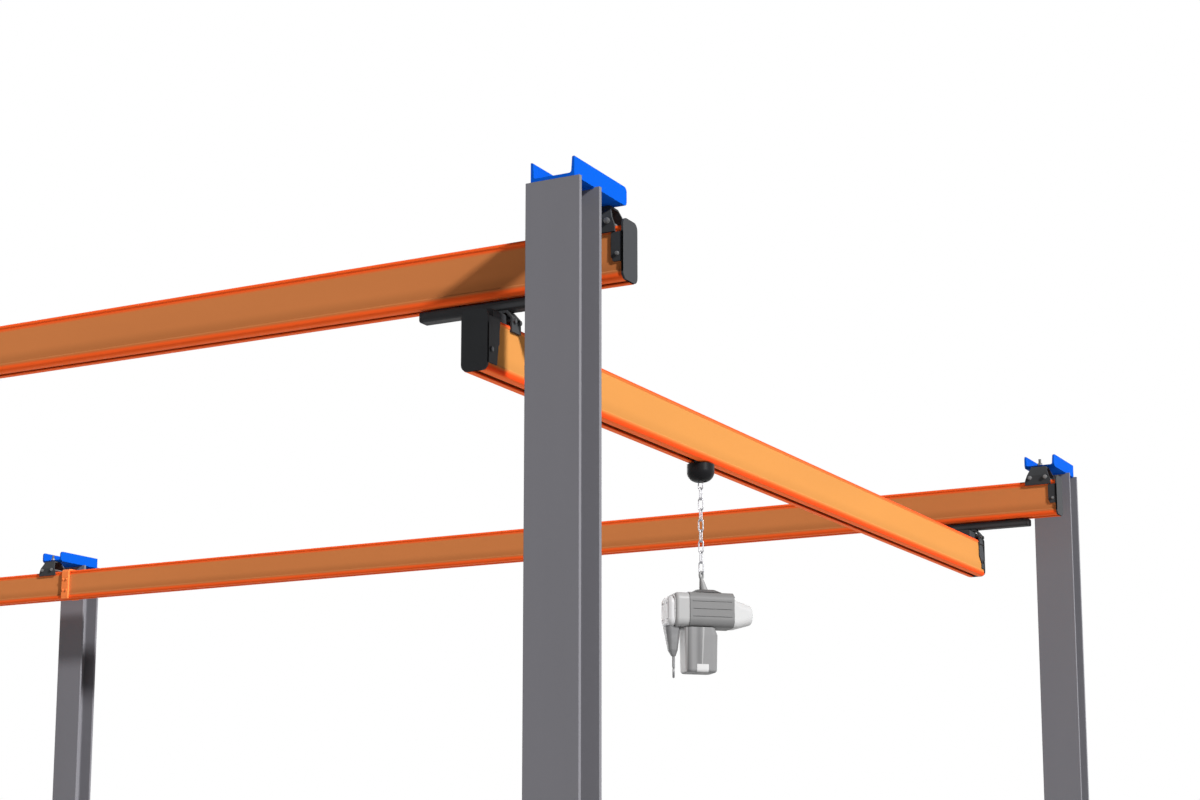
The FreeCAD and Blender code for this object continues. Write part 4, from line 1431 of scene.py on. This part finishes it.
@dataclass
class Studio:
    """Floor, world, lamps and camera. The floor fades between two shares of its radius."""

    floor_radius: float = 60.0
    floor_drop: float = 1 * MM
    floor_bottom: float = 100 * MM
    floor_points: int = 96
    floor_tone: float = 0.80
    floor_fade: tuple[float, float] = (0.25, 0.8)
    world_level: float = 0.08
    key_towards: Triple = (0.839, -0.284, 0.463)
    key_level: float = 1.63
    key_angle: float = 4.0
    fill_towards: Triple = (-0.76, 0.62, 0.20)
    fill_level: float = 0.45
    fill_angle: float = 40.0
    camera_place: Triple = (10.83705, -9.30412, 1.51217)
    camera_yaw: float = 0.48967
    camera_pitch: float = 0.17134
    camera_reach: float = 200.0
    focal_pixels: float = 2193.96
    shift_pixels: float = 130.0

    def build(self) -> None:
        """Set the stage."""
        self.floor()
        self.world()
        self.sun("key", self.key_towards, self.key_level, self.key_angle)
        self.sun("fill", self.fill_towards, self.fill_level, self.fill_angle)
        self.camera()
        bpy.context.scene.view_settings.view_transform = "Standard"

    def floor(self) -> None:
        """Pale round floor that fades to the white background far away."""
        radii = np.array([self.floor_radius, self.floor_radius])
        heights = np.array([-self.floor_bottom, -self.floor_drop])
        mesh = loft(turned(radii, heights, self.floor_points)).mesh("studio_floor")
        material = bpy.data.materials.new("studio_floor")
        graph = Graph.of(material)
        coords = graph.object_coords()
        away = graph.add("ShaderNodeVectorMath", {0: coords}, operation="LENGTH").outputs["Value"]
        far = graph.ramp(away, *(part * self.floor_radius for part in self.floor_fade))
        share = graph.math("MULTIPLY", far, graph.seen_by("Is Camera Ray", "Is Glossy Ray"))
        pale = graph.add("ShaderNodeBsdfDiffuse", {"Color": (*grey(self.floor_tone), 1.0)})
        white = graph.add("ShaderNodeEmission", {"Color": WHITE, "Strength": 1.0})
        mixed = graph.add("ShaderNodeMixShader", {0: share, 1: pale.outputs[0], 2: white.outputs[0]})
        graph.add("ShaderNodeOutputMaterial", {"Surface": mixed.outputs[0]})
        mesh.materials.append(material)
        linked("studio_floor", mesh)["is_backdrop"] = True

    def world(self) -> None:
        """Even light from all round, which the camera and reflections see as white."""
        world = bpy.data.worlds.new("studio")
        bpy.context.scene.world = world
        graph = Graph.of(world)
        shown = graph.seen_by("Is Camera Ray", "Is Glossy Ray", "Is Transmission Ray")
        light = graph.add("ShaderNodeBackground", {"Color": WHITE, "Strength": self.world_level})
        white = graph.add("ShaderNodeBackground", {"Color": WHITE, "Strength": 1.0})
        mixed = graph.add("ShaderNodeMixShader", {0: shown, 1: light.outputs[0], 2: white.outputs[0]})
        graph.add("ShaderNodeOutputWorld", {"Surface": mixed.outputs[0]})

    def sun(self, name: str, towards: Triple, level: float, angle: float) -> None:
        """Soft distant lamp.

        Args:
            name: Name of the lamp.
            towards: Direction from the crane to the lamp.
            level: Brightness of white paper that faces the lamp.
            angle: Width of the lamp as seen from the crane, in degrees.
        """
        lamp = bpy.data.lights.new(name, "SUN")
        lamp.energy = level * math.pi
        lamp.angle = math.radians(angle)
        holder = linked(name, lamp)
        holder.rotation_mode = "QUATERNION"
        holder.rotation_quaternion = Vector(towards).to_track_quat("Z", "Y")

    def camera(self) -> None:
        """Camera at the photograph's place, yaw and pitch, with its lens raised a little."""
        lens = bpy.data.cameras.new("camera")
        lens.sensor_fit = "HORIZONTAL"
        lens.lens = lens.sensor_width * self.focal_pixels / IMAGE_WIDTH
        lens.shift_y = self.shift_pixels / IMAGE_WIDTH
        lens.clip_end = self.camera_reach
        yaw, pitch = self.camera_yaw, self.camera_pitch
        view = Vector((-math.sin(yaw) * math.cos(pitch), math.cos(yaw) * math.cos(pitch), math.sin(pitch)))
        holder = linked("camera", lens)
        holder.location = self.camera_place
        holder.rotation_mode = "QUATERNION"
        holder.rotation_quaternion = view.to_track_quat("-Z", "Y")
        bpy.context.scene.camera = holder


def dress_nodes() -> None:
    """Give every solid its own finish or its slot's, with bands on the profiles and sides on the shells."""
    slots = {part["node"]: part["material_slot"] for part in frame["record"]["subparts"]}
    axes = HoistFrame()
    for name, node in frame["nodes"].items():
        finish = OWN_FINISHES.get(name, FINISHES[slots[name]])
        if isinstance(finish, BandedFinish):
            low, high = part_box(name)
            finish = replace(finish, top=high.z, bottom=low.z)
        elif isinstance(finish, ShellFinish):
            finish = finish.fitted(axes, name)
        finish.dress(node)
        log.info("%s: %s", name, finish.name)


def main() -> None:
    """Dress the crane, add its small pieces, and set the stage."""
    logging.basicConfig(level=logging.INFO, format="%(name)s %(message)s")
    dress_nodes()
    kinds = (ColumnFeet, BracketSeats, TrackHangers, TrackEnds)
    assemblies: list[Assembly] = [kind(row) for row in Row for kind in kinds]
    assemblies += [BridgeTrucks(), HoistTrim(), HookLatch()]
    for assembly in assemblies:
        assembly.build()
    Studio().build()
    boxes = {"cad": CAD_BOX, "visual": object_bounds()}
    {name: [list(corner) for corner in box] for name, box in boxes.items()}


if __name__ == "__main__":
    main()
